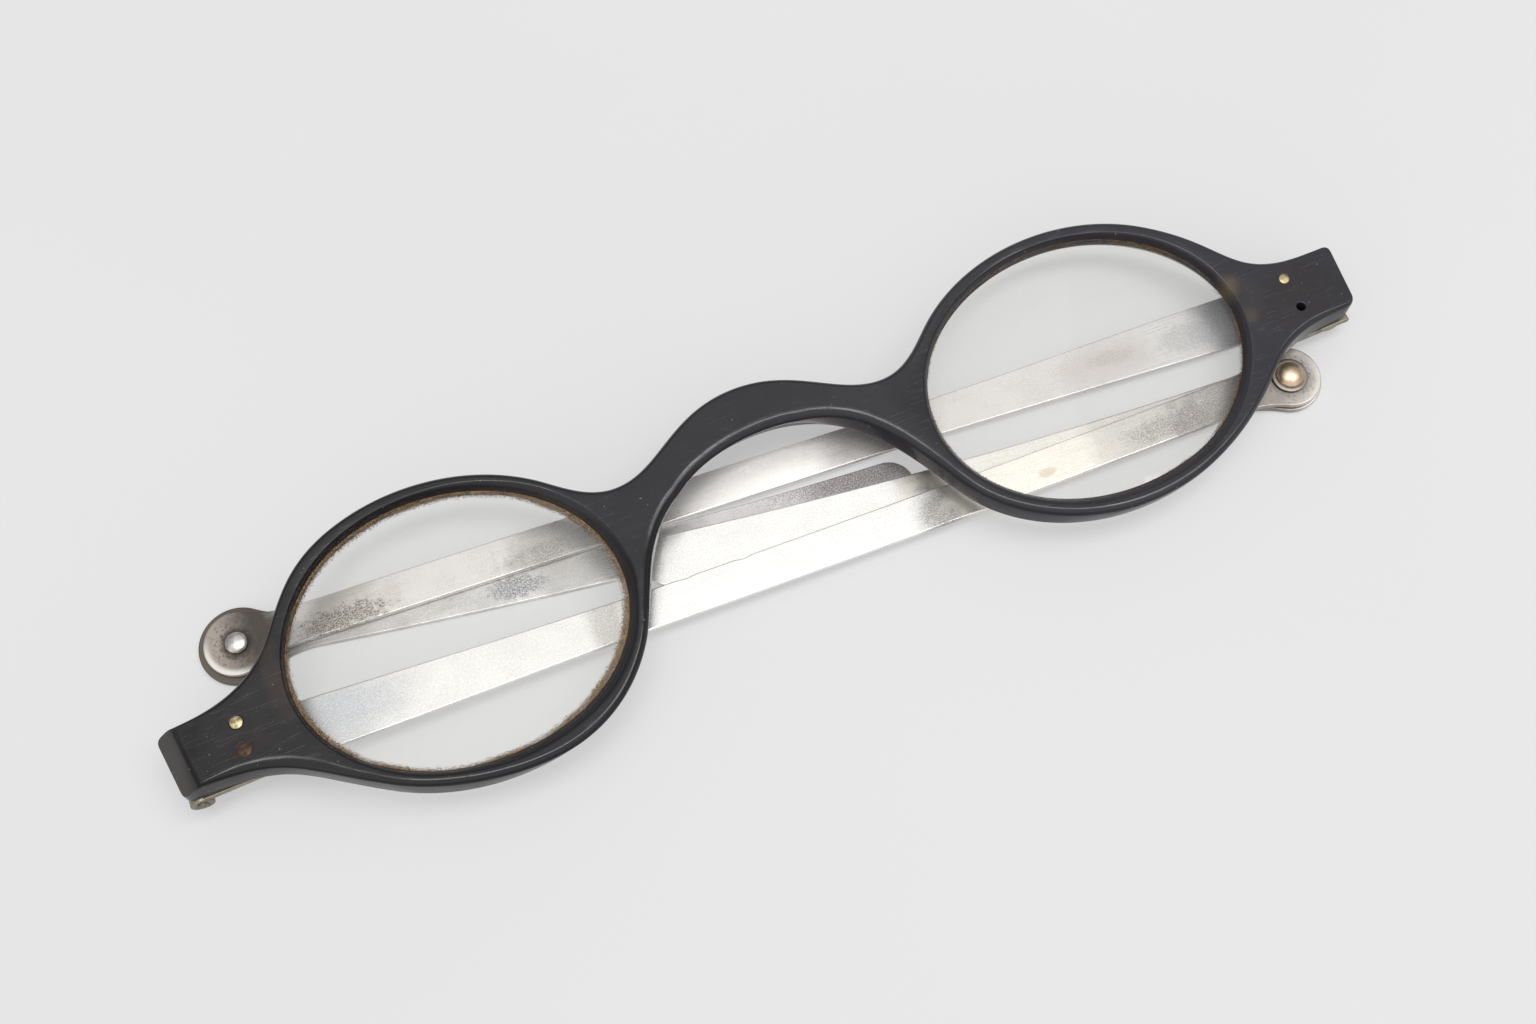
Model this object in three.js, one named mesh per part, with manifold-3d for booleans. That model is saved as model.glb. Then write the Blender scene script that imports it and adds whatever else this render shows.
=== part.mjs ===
// Turn-pin spectacles: a one-piece horn front with two lenses, and silver temples in two sections,
// hinged at the ends of the front and folded under it.
// Millimetres. In the front's own frame X runs along it, Y points to the brow, Z out of its face,
// and Z = 0 is the level of the hinge axes. The folded spectacles lie face up on the ground.
import * as THREE from 'three';
import { mergeVertices } from 'three/addons/utils/BufferGeometryUtils.js';
import Module from 'manifold-3d';

const { cos, sin, tan, sqrt, atan2, atan, PI } = Math;
const radians = THREE.MathUtils.degToRad;

// Horn front
const LENS_SPACING = 63.4;
const LENS_Y = 0.25;
const LENS_TILT = radians(6);                       // the ovals rise towards the ends
const OPENING = new THREE.Vector2(15.6, 12.9);      // half axes of a lens opening, and outside the rim
const RIM = new THREE.Vector2(17.35, 14.3);
const HORN_THICKNESS = 3.3;
const HORN_BACK = 1.15;
const EDGE_INSET = 0.5;                             // rounding of the edges, across and through the sheet
const EDGE_DROP = 0.75;
const BRIDGE_TOP = 11.45;
const BRIDGE_CROWN = 6.4;                           // reach of the crown's curve to each side
const ARCH_TOP = 7.35;
const ARCH_CROWN = 11.7;
const ARCH_LEG = 5.3;                               // reach of the curve up each side of the nose
const DIP = new THREE.Vector2(13.45, 6.65);         // lowest point between bridge and rim
const DIP_REACH = 4.35;
const DIP_EASE = 2.4;
const RIM_START = radians(130.4);                   // where the rim's oval leaves the dip
const RIM_NOSE_END = radians(-155.2);               // and where it runs up into the nose arch
const END_BOTTOM = -4.6;
const END_MIDDLE = -1.4;
const END_FLARE = radians(6.4);                     // the ends lean out towards the brow
const END_BEVEL_DEPTH = 1.85;                       // their bevels reach this far down from the face
const END_CORNER = 1.0;

// Lenses, in a groove near the face, with the openings widened behind them
const LENS_LIP = 0.45;                              // how far a lens reaches past its opening
const LENS_MIDDLE = 3.1;
const LENS_EDGE = 0.6;
const LENS_BULGE = 0.5;
const LENS_BEVEL = 0.2;
const GROOVE_GAP = 0.2;
const FLARE_TOP = 2.5;                              // the widening starts at this height
const FLARE_WIDTH = 1.0;                            // and reaches this far out at the back

// Hinges: plates riveted behind the end pieces, three knuckles on a pin
const PLATE_Y = -1.5;
const PLATE_THICKNESS = 0.65;
const PLATE_TOP = 1.05;
const PLATE_INNER = 49.8;
const PLATE_OUTER = 58.3;
const PLATE_HALF_WIDTH = 3.3;
const PLATE_ROUND = 2.4;
const KNUCKLE_RADIUS = 1.1;
const KNUCKLE_HIGH = 3.35;                          // reach of the barrel to the brow
const KNUCKLE_LOW = 3.9;                            // and to the cheek, where it shows below the horn
const KNUCKLE_MIDDLE = 1.0;                         // half length of the temple's own knuckle
const KNUCKLE_GAP = 0.15;
const HINGE_PIN_RADIUS = 0.45;
const RUNNING_GAP = 0.1;
const RIVETS = [
  { name: 'left_rivet_upper', x: -52.2, y: -0.5, radius: 0.6, metal: 'brass' },
  { name: 'left_rivet_lower', x: -52.3, y: -3.1, radius: 0.62, metal: 'copper' },
  { name: 'right_rivet_upper', x: 53.0, y: 0.3, radius: 0.52, metal: 'brass' },
];
const EMPTY_HOLE = { x: 53.0, y: -2.95, radius: 0.42 };   // its rivet is lost
const RIVET_DOME = 0.15;
const RIVET_TAIL = 0.15;

// Temples: strips with a disc at the turn pin
const FRONT_LENGTH = 108.3;                         // hinge axis to turn pin
const REAR_LENGTH = 64.9;                           // turn pin to tip
const STRIP_THICKNESS = 0.6;
const STRIP_GAP = 0.1;
const STRIP_TOP = -0.3;
const ROOT_HALF_WIDTH = 2.75;
const SLIM_HALF_WIDTH = 1.85;
const TIP_HALF_WIDTH = 2.5;
const TAPER_LENGTH = 46;
const SHOULDER = 1.35;                              // the strip starts clear of the outer knuckles
const FRONT_DISC_RADIUS = 3.1;
const NECK_RADIUS = 10;
const SHANK_RADIUS = 0.6;
const TAIL_RADIUS = 0.9;
const WASHER_RADIUS = 1.75;
const WASHER_THICKNESS = 0.2;

// Each side: the brow side of the front's end, where its bevel starts on the face and where its wall
// stands, the two necks that run from the rim to the end (where each leaves the rim's oval, and the reach
// of its curve at the rim and at the end; filed by hand, they differ), the hinge's place, the temple's
// heading and fold, how far its rear section doubles back, the sideways bow of its two sections, the rear
// section's disc, and its turn pin
const LEFT = {
  word: 'left', side: -1, endTop: 1.4, endFace: 57.2, endWall: 59.1,
  neckTop: { leave: radians(62.85), atRim: 11.24, atEnd: 14.28 },
  neckLow: { leave: radians(-58.66), atRim: 8.54, atEnd: 9.05 },
  hinge: new THREE.Vector2(-57.6, -0.95), heading: radians(-3.4), fold: 0,
  doubled: radians(176.6), frontBow: -0.6, rearBow: 0.6, rearDisc: 3.3,
  headRadius: 1.35, headHeight: 0.75, washer: true,
};
const RIGHT = {
  word: 'right', side: 1, endTop: 1.95, endFace: 58.25, endWall: 59.0,
  neckTop: { leave: radians(42.44), atRim: 9.28, atEnd: 10.03 },
  neckLow: { leave: radians(-73.98), atRim: 12.54, atEnd: 10.33 },
  hinge: new THREE.Vector2(57.1, -0.5), heading: radians(174.9), fold: radians(0.95),
  doubled: radians(175.35), frontBow: 0, rearBow: -0.6, rearDisc: 3.75,
  headRadius: 1.05, headHeight: 0.45, washer: false,
};
const SIDES = [LEFT, RIGHT];

const CURVE_STEPS = 12;
const OVAL_STEPS = 44;
const ROUND_STEPS = 20;
const STRIP_STEPS = 10;

const wasm = await Module();
wasm.setup();

const metal = (color, roughness) => new THREE.MeshStandardMaterial({ color, roughness, metalness: 1 });
const horn = new THREE.MeshStandardMaterial({ color: 0x232225, roughness: 0.45, metalness: 0 });
const glass = new THREE.MeshStandardMaterial({
  color: 0xe9efec, roughness: 0.05, metalness: 0, transparent: true, opacity: 0.3,
});
const silver = metal(0xcfcbc3, 0.28);
const pinSilver = metal(0xd8d2c6, 0.2);
const pinBrass = metal(0xb8935a, 0.25);
const rivetMetals = { brass: metal(0xcfb983, 0.35), copper: metal(0x7b4a38, 0.55) };

// A closed solid from a geometry: equal corners merged, triangles without area left out.
function solid(geometry) {
  geometry.deleteAttribute('normal');
  geometry.deleteAttribute('uv');
  const merged = mergeVertices(geometry);
  const corners = [];
  for (let i = 0; i < merged.index.count; i += 3) {
    const [a, b, c] = [0, 1, 2].map((k) => merged.index.getX(i + k));
    if (a !== b && b !== c && c !== a) corners.push(a, b, c);
  }
  return new wasm.Manifold(new wasm.Mesh({
    numProp: 3,
    vertProperties: new Float32Array(merged.attributes.position.array),
    triVerts: new Uint32Array(corners),
  }));
}

function piece(name, body, material) {
  const { vertProperties, triVerts } = body.getMesh();
  const geometry = new THREE.BufferGeometry();
  geometry.setAttribute('position', new THREE.BufferAttribute(vertProperties, 3));
  geometry.setIndex(new THREE.BufferAttribute(triVerts, 1));
  geometry.computeVertexNormals();
  const mesh = new THREE.Mesh(geometry, material);
  mesh.name = name;
  return mesh;
}

// A turned solid about Z from a profile of [radius, height] pairs, upwards from axis to axis.
function turned(profile, steps = ROUND_STEPS) {
  const points = profile.map(([radius, height]) => new THREE.Vector2(radius, height));
  return new THREE.LatheGeometry(points, steps).rotateX(PI / 2);
}

function rod(radius, bottom, top) {
  return turned([[0, bottom], [radius, bottom], [radius, top], [0, top]]);
}

function plateOf(shape, bottom, thickness) {
  const options = { depth: thickness, bevelEnabled: false, curveSegments: CURVE_STEPS };
  return new THREE.ExtrudeGeometry(shape, options).translate(0, 0, bottom);
}

// A path's smooth run from its end, leaving along the heading, into the start of the next curve.
function easeInto(path, heading, curve, reachOut, reachIn) {
  const start = path.currentPoint.clone();
  const end = curve.getPoint(0);
  const leave = heading.clone().multiplyScalar(reachOut).add(start);
  const arrive = curve.getTangent(0).multiplyScalar(-reachIn).add(end);
  path.bezierCurveTo(leave.x, leave.y, arrive.x, arrive.y, end.x, end.y);
  path.add(curve);
  path.currentPoint.copy(curve.getPoint(1));
}

// Right half of the front's outline, from the bridge's crown round the rim to the nose arch. The left
// half is its mirror image, with its own necks and end.
function halfOutline({ endTop, endWall, neckTop, neckLow }) {
  const rim = (from, to) => new THREE.EllipseCurve(
    LENS_SPACING / 2, LENS_Y, RIM.x, RIM.y, from, to, true, LENS_TILT);
  const brow = rim(RIM_START, neckTop.leave);
  const cheek = rim(neckLow.leave, RIM_NOSE_END);
  const wall = (y) => endWall + (y - END_MIDDLE) * tan(END_FLARE);
  const topStop = wall(endTop) - END_CORNER;
  const level = new THREE.Vector2(1, 0);

  const path = new THREE.Path();
  path.moveTo(0, BRIDGE_TOP);
  path.bezierCurveTo(BRIDGE_CROWN, BRIDGE_TOP, DIP.x - DIP_REACH, DIP.y, DIP.x, DIP.y);
  easeInto(path, level, brow, DIP_EASE, DIP_EASE);
  const down = brow.getTangent(1).multiplyScalar(neckTop.atRim).add(path.currentPoint);
  path.bezierCurveTo(down.x, down.y, topStop - neckTop.atEnd, endTop, topStop, endTop);
  const [high, low] = [endTop - END_CORNER, END_BOTTOM + END_CORNER];
  path.quadraticCurveTo(wall(endTop), endTop, wall(high), high);
  path.lineTo(wall(low), low);
  path.quadraticCurveTo(wall(END_BOTTOM), END_BOTTOM, wall(END_BOTTOM) - END_CORNER, END_BOTTOM);
  easeInto(path, level.clone().negate(), cheek, neckLow.atEnd, neckLow.atRim);
  const up = cheek.getTangent(1).multiplyScalar(ARCH_LEG).add(path.currentPoint);
  path.bezierCurveTo(up.x, up.y, ARCH_CROWN, ARCH_TOP, 0, ARCH_TOP);
  return path.getPoints(CURVE_STEPS);
}

function lensProfile(gap) {
  const edge = OPENING.x + LENS_LIP + gap;
  const half = LENS_EDGE / 2 + gap;
  const bulge = [0.75, 0.5, 0.25];
  const face = bulge.map((share) => [share * edge, half + LENS_BULGE * (1 - share * share)]);
  const crown = [[0, half + LENS_BULGE]];
  const upper = [[edge, half - LENS_BEVEL], [edge - LENS_BEVEL, half], ...face, ...crown];
  const lower = upper.map(([radius, height]) => [radius, -height]).reverse();
  return [...lower, ...upper];
}

function lens(side, gap) {
  const ratio = (OPENING.y + LENS_LIP) / (OPENING.x + LENS_LIP);
  return turned(lensProfile(gap), OVAL_STEPS)
    .scale(1, ratio, 1)
    .rotateZ(side * LENS_TILT)
    .translate(side * LENS_SPACING / 2, LENS_Y, LENS_MIDDLE);
}

// The widening of an opening behind its lens: an oval cone, wider towards the back.
function openingFlare(side) {
  const slope = FLARE_WIDTH / (FLARE_TOP - HORN_BACK);
  const past = 0.5;
  const [low, high] = [HORN_BACK - past, FLARE_TOP + past];
  const wide = OPENING.x + FLARE_WIDTH + past * slope;
  const narrow = OPENING.x - past * slope;
  return turned([[0, low], [wide, low], [narrow, high], [0, high]], OVAL_STEPS)
    .scale(1, OPENING.y / OPENING.x, 1)
    .rotateZ(side * LENS_TILT)
    .translate(side * LENS_SPACING / 2, LENS_Y, 0);
}

// An end's bevel: everything outside a plane that slopes from the face down to the end wall.
function endCut({ side, endFace, endWall }) {
  const lean = atan((endWall - endFace) / END_BEVEL_DEPTH);
  const size = 12;
  return new THREE.BoxGeometry(size, size * 2, size)
    .translate(side * size / 2, 0, 0)
    .rotateY(-side * lean)
    .rotateZ(-side * END_FLARE)
    .translate(side * endFace, END_MIDDLE, HORN_BACK + HORN_THICKNESS);
}

function hornFront() {
  const right = halfOutline(RIGHT);
  const left = halfOutline(LEFT).slice(1, -1).reverse().map((p) => new THREE.Vector2(-p.x, p.y));
  const shape = new THREE.Shape([...right, ...left]);
  for (const { side } of SIDES) {
    const opening = new THREE.Path();
    const x = side * LENS_SPACING / 2;
    opening.absellipse(x, LENS_Y, OPENING.x, OPENING.y, 0, 2 * PI, false, side * LENS_TILT);
    shape.holes.push(opening);
  }
  const sheet = new THREE.ExtrudeGeometry(shape, {
    depth: HORN_THICKNESS - 2 * EDGE_DROP,
    bevelThickness: EDGE_DROP,
    bevelSize: EDGE_INSET,
    bevelOffset: -EDGE_INSET,
    bevelSegments: 2,
    curveSegments: OVAL_STEPS / 2,
  }).translate(0, 0, HORN_BACK + EDGE_DROP);
  let body = solid(sheet);
  for (const build of SIDES) {
    body = body.subtract(solid(endCut(build))).subtract(solid(lens(build.side, GROOVE_GAP)));
    body = body.subtract(solid(openingFlare(build.side)));
  }
  for (const { x, y, radius } of [...RIVETS.map(withGap), EMPTY_HOLE]) {
    body = body.subtract(solid(rod(radius, 0, HORN_BACK + HORN_THICKNESS + 1).translate(x, y, 0)));
  }
  return piece('horn_front', body, horn);
}

function withGap(rivet) {
  return { ...rivet, radius: rivet.radius + RUNNING_GAP };
}

function rivet({ name, x, y, radius, metal: kind }) {
  const face = HORN_BACK + HORN_THICKNESS;
  const tail = PLATE_TOP - PLATE_THICKNESS - RIVET_TAIL;
  const profile = [[0, tail], [radius, tail], [radius, face], [radius * 0.7, face + RIVET_DOME * 0.7],
    [0, face + RIVET_DOME]];
  return piece(name, solid(turned(profile, ROUND_STEPS / 2).translate(x, y, 0)), rivetMetals[kind]);
}

// Geometry made along a hinge axis, moved to that hinge.
function atHinge(geometry, { hinge, heading }) {
  return geometry.rotateZ(heading).translate(hinge.x, hinge.y, 0);
}

function barrel(radius, from, to) {
  return rod(radius, from, to).rotateX(-PI / 2);
}

function hingePlate(build) {
  const { side } = build;
  const shape = new THREE.Shape();
  const round = PLATE_ROUND;
  shape.moveTo(PLATE_OUTER, -PLATE_HALF_WIDTH);
  shape.lineTo(PLATE_OUTER, PLATE_HALF_WIDTH);
  shape.lineTo(PLATE_INNER + round, PLATE_HALF_WIDTH);
  shape.absarc(PLATE_INNER + round, PLATE_HALF_WIDTH - round, round, PI / 2, PI, false);
  shape.absarc(PLATE_INNER + round, round - PLATE_HALF_WIDTH, round, PI, PI * 1.5, false);
  const sheet = plateOf(shape, PLATE_TOP - PLATE_THICKNESS, PLATE_THICKNESS);
  let body = solid(sheet.rotateZ(side > 0 ? 0 : PI).translate(0, PLATE_Y, 0));
  const clear = KNUCKLE_MIDDLE + KNUCKLE_GAP;
  const reach = KNUCKLE_RADIUS + KNUCKLE_GAP;
  const depth = 6;
  const notch = new THREE.BoxGeometry(depth, 2 * clear, depth).translate(reach - depth / 2, 0, 0);
  body = body.subtract(solid(atHinge(notch, build)));
  for (const end of [-1, 1]) {
    const span = end === side ? KNUCKLE_LOW : KNUCKLE_HIGH;
    const [from, to] = [end * clear, end * span].sort((a, b) => a - b);
    body = body.add(solid(atHinge(barrel(KNUCKLE_RADIUS, from, to), build)));
  }
  const bore = barrel(HINGE_PIN_RADIUS + RUNNING_GAP, -KNUCKLE_LOW - 1, KNUCKLE_LOW + 1);
  body = body.subtract(solid(atHinge(bore, build)));
  for (const { x, y, radius } of [...RIVETS.map(withGap), EMPTY_HOLE]) {
    if (x * side > 0) body = body.subtract(solid(rod(radius, 0, HORN_BACK).translate(x, y, 0)));
  }
  return piece(`${build.word}_hinge_plate`, body, silver);
}

function hingePin(build) {
  const proud = 0.1;
  const dome = 0.12;
  const spans = build.side < 0 ? [KNUCKLE_LOW, KNUCKLE_HIGH] : [KNUCKLE_HIGH, KNUCKLE_LOW];
  const [low, high] = [-spans[0] - proud, spans[1] + proud];
  const profile = [[0, low - dome], [HINGE_PIN_RADIUS * 0.6, low - dome], [HINGE_PIN_RADIUS, low],
    [HINGE_PIN_RADIUS, high], [HINGE_PIN_RADIUS * 0.6, high + dome], [0, high + dome]];
  const pin = turned(profile, ROUND_STEPS / 2).rotateX(-PI / 2);
  return piece(`${build.word}_hinge_pin`, solid(atHinge(pin, build)), silver);
}

// Each section's neck runs into its disc with a hollow curve on either side: how far from the disc's
// centre that curve starts, and the angle at which it meets the disc.
function neckOf(discRadius) {
  const away = SLIM_HALF_WIDTH + NECK_RADIUS;
  const run = sqrt((discRadius + NECK_RADIUS) ** 2 - away ** 2);
  return { away, run, turn: atan2(away, run) };
}

// Points along one edge of a strip from one distance to another: side is +1 or -1, bow the sideways
// set of its middle, halfWidth a function of the distance.
function edge(from, to, side, bow, halfWidth) {
  const points = [];
  for (let i = 0; i <= STRIP_STEPS; i += 1) {
    const share = i / STRIP_STEPS;
    const x = from + (to - from) * share;
    points.push(new THREE.Vector2(x, 4 * bow * share * (1 - share) + side * halfWidth(x)));
  }
  return points;
}

function frontStrip(bow) {
  const { away, run, turn } = neckOf(FRONT_DISC_RADIUS);
  const neck = FRONT_LENGTH - run;
  const spread = ROOT_HALF_WIDTH - SLIM_HALF_WIDTH;
  const halfWidth = (x) => ROOT_HALF_WIDTH - spread * THREE.MathUtils.smoothstep(x, 0, TAPER_LENGTH);
  const shape = new THREE.Shape();
  shape.moveTo(0, KNUCKLE_MIDDLE);
  shape.lineTo(SHOULDER, KNUCKLE_MIDDLE);
  for (const point of edge(SHOULDER, neck, 1, bow, halfWidth)) shape.lineTo(point.x, point.y);
  shape.absarc(neck, away, NECK_RADIUS, -PI / 2, -turn, false);
  shape.absarc(FRONT_LENGTH, 0, FRONT_DISC_RADIUS, PI - turn, turn - PI, true);
  shape.absarc(neck, -away, NECK_RADIUS, turn, PI / 2, false);
  for (const point of edge(SHOULDER, neck, -1, bow, halfWidth).reverse()) shape.lineTo(point.x, point.y);
  shape.lineTo(SHOULDER, -KNUCKLE_MIDDLE);
  shape.lineTo(0, -KNUCKLE_MIDDLE);
  return plateOf(shape, STRIP_TOP - STRIP_THICKNESS, STRIP_THICKNESS);
}

function rearStrip({ rearBow: bow, rearDisc }) {
  const { away, run, turn } = neckOf(rearDisc);
  const tip = REAR_LENGTH - TIP_HALF_WIDTH;
  const spread = TIP_HALF_WIDTH - SLIM_HALF_WIDTH;
  const halfWidth = (x) => SLIM_HALF_WIDTH + spread * ((x - run) / (tip - run)) ** 2;
  const shape = new THREE.Shape();
  shape.absarc(0, 0, rearDisc, -turn, turn, true);
  shape.absarc(run, away, NECK_RADIUS, PI + turn, PI * 1.5, false);
  for (const point of edge(run, tip, 1, bow, halfWidth)) shape.lineTo(point.x, point.y);
  shape.absarc(tip, 0, TIP_HALF_WIDTH, PI / 2, -PI / 2, true);
  for (const point of edge(run, tip, -1, bow, halfWidth).reverse()) shape.lineTo(point.x, point.y);
  shape.absarc(run, -away, NECK_RADIUS, PI / 2, PI - turn, false);
  return plateOf(shape, -STRIP_THICKNESS, STRIP_THICKNESS);
}

function templeFront({ word, frontBow }) {
  const knuckle = barrel(KNUCKLE_RADIUS, -KNUCKLE_MIDDLE, KNUCKLE_MIDDLE);
  const bore = barrel(HINGE_PIN_RADIUS + RUNNING_GAP, -KNUCKLE_MIDDLE - 1, KNUCKLE_MIDDLE + 1);
  const eye = rod(SHANK_RADIUS + RUNNING_GAP, -3, 1).translate(FRONT_LENGTH, 0, 0);
  const body = solid(frontStrip(frontBow)).add(solid(knuckle)).subtract(solid(bore)).subtract(solid(eye));
  return piece(`${word}_temple_front`, body, silver);
}

// The rear section's eye is countersunk below for the pin's spread tail.
function templeRear(build) {
  const wide = TAIL_RADIUS + RUNNING_GAP;
  const narrow = SHANK_RADIUS + RUNNING_GAP;
  const eye = turned([[0, -STRIP_THICKNESS - 1], [wide, -STRIP_THICKNESS - 1], [wide, -STRIP_THICKNESS],
    [narrow, -STRIP_THICKNESS / 2], [narrow, 1], [0, 1]]);
  return piece(`${build.word}_temple_rear`, solid(rearStrip(build)).subtract(solid(eye)), silver);
}

// Heights from the top of the front section's disc; the pin reaches through both discs.
function turnPin({ word, headRadius, headHeight, washer }) {
  const base = RUNNING_GAP + (washer ? WASHER_THICKNESS + RUNNING_GAP : 0);
  const bottom = RUNNING_GAP / 2 - 2 * STRIP_THICKNESS - STRIP_GAP;
  const profile = [[0, bottom], [TAIL_RADIUS, bottom],
    [SHANK_RADIUS, bottom + STRIP_THICKNESS / 2], [SHANK_RADIUS, base]];
  const domeSteps = 4;
  for (let i = 0; i <= domeSteps; i += 1) {
    const turn = (i / domeSteps) * PI / 2;
    profile.push([i < domeSteps ? headRadius * cos(turn) : 0, base + headHeight * sin(turn)]);
  }
  return piece(`${word}_turn_pin`, solid(turned(profile)), washer ? pinBrass : pinSilver);
}

function pinWasher({ word }) {
  const hole = SHANK_RADIUS + RUNNING_GAP;
  const ring = turned([[hole, RUNNING_GAP], [WASHER_RADIUS, RUNNING_GAP],
    [WASHER_RADIUS, RUNNING_GAP + WASHER_THICKNESS], [hole, RUNNING_GAP + WASHER_THICKNESS],
    [hole, RUNNING_GAP]]);
  return piece(`${word}_pin_washer`, solid(ring), silver);
}

// One temple, hung on its hinge: the front section turned in by the fold, the rear section at the pin.
function temple(build) {
  const hinge = new THREE.Group();
  hinge.position.set(build.hinge.x, build.hinge.y, 0);
  hinge.rotation.z = build.heading;
  const front = new THREE.Group();
  front.rotation.y = build.fold;
  const pin = new THREE.Group();
  pin.position.set(FRONT_LENGTH, 0, STRIP_TOP);
  pin.add(turnPin(build));
  if (build.washer) pin.add(pinWasher(build));
  const rear = new THREE.Group();
  rear.position.z = -STRIP_THICKNESS - STRIP_GAP;
  rear.rotation.z = build.doubled;
  rear.add(templeRear(build));
  pin.add(rear);
  front.add(templeFront(build), pin);
  hinge.add(front);
  return hinge;
}

const spectacles = new THREE.Group();
spectacles.add(hornFront(), ...RIVETS.map(rivet));
for (const build of SIDES) {
  const pane = solid(lens(build.side, 0));
  spectacles.add(piece(`${build.word}_lens`, pane, glass));
  spectacles.add(hingePlate(build), hingePin(build), temple(build));
}

// The right temple is folded outermost: its rear section lies flat on the ground, and the whole
// is centred on the origin.
const rightAxis = new THREE.Vector3(-sin(RIGHT.heading), cos(RIGHT.heading), 0);
spectacles.quaternion.setFromAxisAngle(rightAxis, -RIGHT.fold);
const box = new THREE.Box3().setFromObject(spectacles, true);
const centre = box.getCenter(new THREE.Vector3());
spectacles.position.set(-centre.x, -centre.y, -box.min.z);

export default spectacles;
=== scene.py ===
import math
import bmesh
import bpy
import numpy as np
from mathutils import Matrix, Vector
from mathutils.geometry import delaunay_2d_cdt


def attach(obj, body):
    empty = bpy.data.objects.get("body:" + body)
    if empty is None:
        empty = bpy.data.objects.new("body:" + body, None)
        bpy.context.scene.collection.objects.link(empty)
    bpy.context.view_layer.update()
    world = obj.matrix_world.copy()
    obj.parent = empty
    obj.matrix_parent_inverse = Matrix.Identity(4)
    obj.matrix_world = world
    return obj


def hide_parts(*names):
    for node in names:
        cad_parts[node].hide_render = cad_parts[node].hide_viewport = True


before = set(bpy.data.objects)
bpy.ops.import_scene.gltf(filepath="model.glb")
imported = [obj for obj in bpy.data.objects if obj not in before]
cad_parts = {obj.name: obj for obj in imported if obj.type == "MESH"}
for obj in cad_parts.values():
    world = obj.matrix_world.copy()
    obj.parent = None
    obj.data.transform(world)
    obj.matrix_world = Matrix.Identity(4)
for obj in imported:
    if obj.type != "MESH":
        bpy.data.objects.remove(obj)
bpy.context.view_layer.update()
print("frame loaded:", len(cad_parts), "nodes")

# Millimetres in the front's own frame: X along the front, Y to the brow, Z out of the face, hinge axes
# at Z = 0. Everything is turned into the row frame and into metres when a piece is made.
mm = 0.001


# 4x4 matrix that moves by x, y, z
def shift(x, y, z):
    m = np.eye(4)
    m[:3, 3] = (x, y, z)
    return m


# 4x4 matrix that turns about a unit axis: cos times I, plus sin times the cross matrix of the axis,
# plus (1 - cos) times the axis with itself
def spin(axis, degrees):
    a = np.array(axis, float)
    c, s = math.cos(math.radians(degrees)), math.sin(math.radians(degrees))
    cross = np.array([[0, -a[2], a[1]], [a[2], 0, -a[0]], [-a[1], a[0], 0]])
    m = np.eye(4)
    m[:3, :3] = c * np.eye(3) + s * cross + (1 - c) * np.outer(a, a)
    return m


sides = {
    "left": {
        "sign": -1, "hinge": (-57.6, -0.95), "heading": -3.4, "fold": 0.0, "doubled": 176.6, "frontBow": -0.6,
        "rearBow": 0.6, "rearDisc": 3.3, "endTop": 1.4, "endWall": 59.1, "endCorner": 0.65, "bevelFace": 57.2,
        "neckTop": (62.85, 11.24, 14.28), "neckLow": (-58.66, 8.54, 9.05),
        "lowerRim": {"over": 0.8, "overAt": (300, 32), "out": 0.18, "outAt": (303, 34)},
        "openingHumps": [(-0.021, 160, 24), (0.02, 318, 32)], "crest": (0.75, 0.55, 320), "sunk": 0.0},
    "right": {
        "sign": 1, "hinge": (57.1, -0.5), "heading": 174.9, "fold": 0.95, "doubled": 175.35, "frontBow": 0.0,
        "rearBow": -0.6, "rearDisc": 3.75, "endTop": 1.95, "endWall": 58.5, "endCorner": 0.9,
        "bevelFace": None, "neckTop": (42.44, 9.28, 10.03), "neckLow": (-73.98, 12.54, 10.33),
        "lowerRim": {"over": 0.5, "overAt": (270, 45), "out": 0.2, "outAt": (305, 20)},
        "openingHumps": [(0.016, 305, 25)], "crest": (0.68, 0.45, 275), "sunk": 0.4},
}
rowShift = (-0.0182519, -0.2464339, 2.5436995)
strip = {"frontLength": 108.3, "rearLength": 64.9, "thick": 0.6, "gap": 0.1, "top": -0.3, "root": 2.75,
         "slim": 1.85, "tip": 2.5, "taper": 46.0, "shoulder": 1.35, "start": 0.6, "knuckleHalf": 1.0,
         "frontDisc": 3.1, "neck": 10.0, "eye": 0.7, "step": 0.25, "edge": (0.11, 0.13, 5, 0.03)}

turned = math.radians(sides["right"]["heading"])
zAxis = (0, 0, 1)
frontPlace = shift(*rowShift) @ spin((-math.sin(turned), math.cos(turned), 0), -sides["right"]["fold"])
for side in sides.values():
    side["hingePlace"] = frontPlace @ shift(*side["hinge"], 0) @ spin(zAxis, side["heading"])
    side["templePlace"] = side["hingePlace"] @ spin((0, 1, 0), side["fold"])
    side["pinPlace"] = side["templePlace"] @ shift(strip["frontLength"], 0, strip["top"])
    side["rearPlace"] = (side["pinPlace"] @ shift(0, 0, -strip["thick"] - strip["gap"])
                         @ spin(zAxis, side["doubled"]))


# cubic curve: (1-t)^3 a + 3 t (1-t)^2 b + 3 t^2 (1-t) c + t^3 d
def cubic(a, b, c, d, count=60):
    t = np.linspace(0, 1, count)[:, None]
    a, b, c, d = (np.array(p, float) for p in (a, b, c, d))
    return (1 - t) ** 3 * a + 3 * t * (1 - t) ** 2 * b + 3 * t ** 2 * (1 - t) * c + t ** 3 * d


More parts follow.
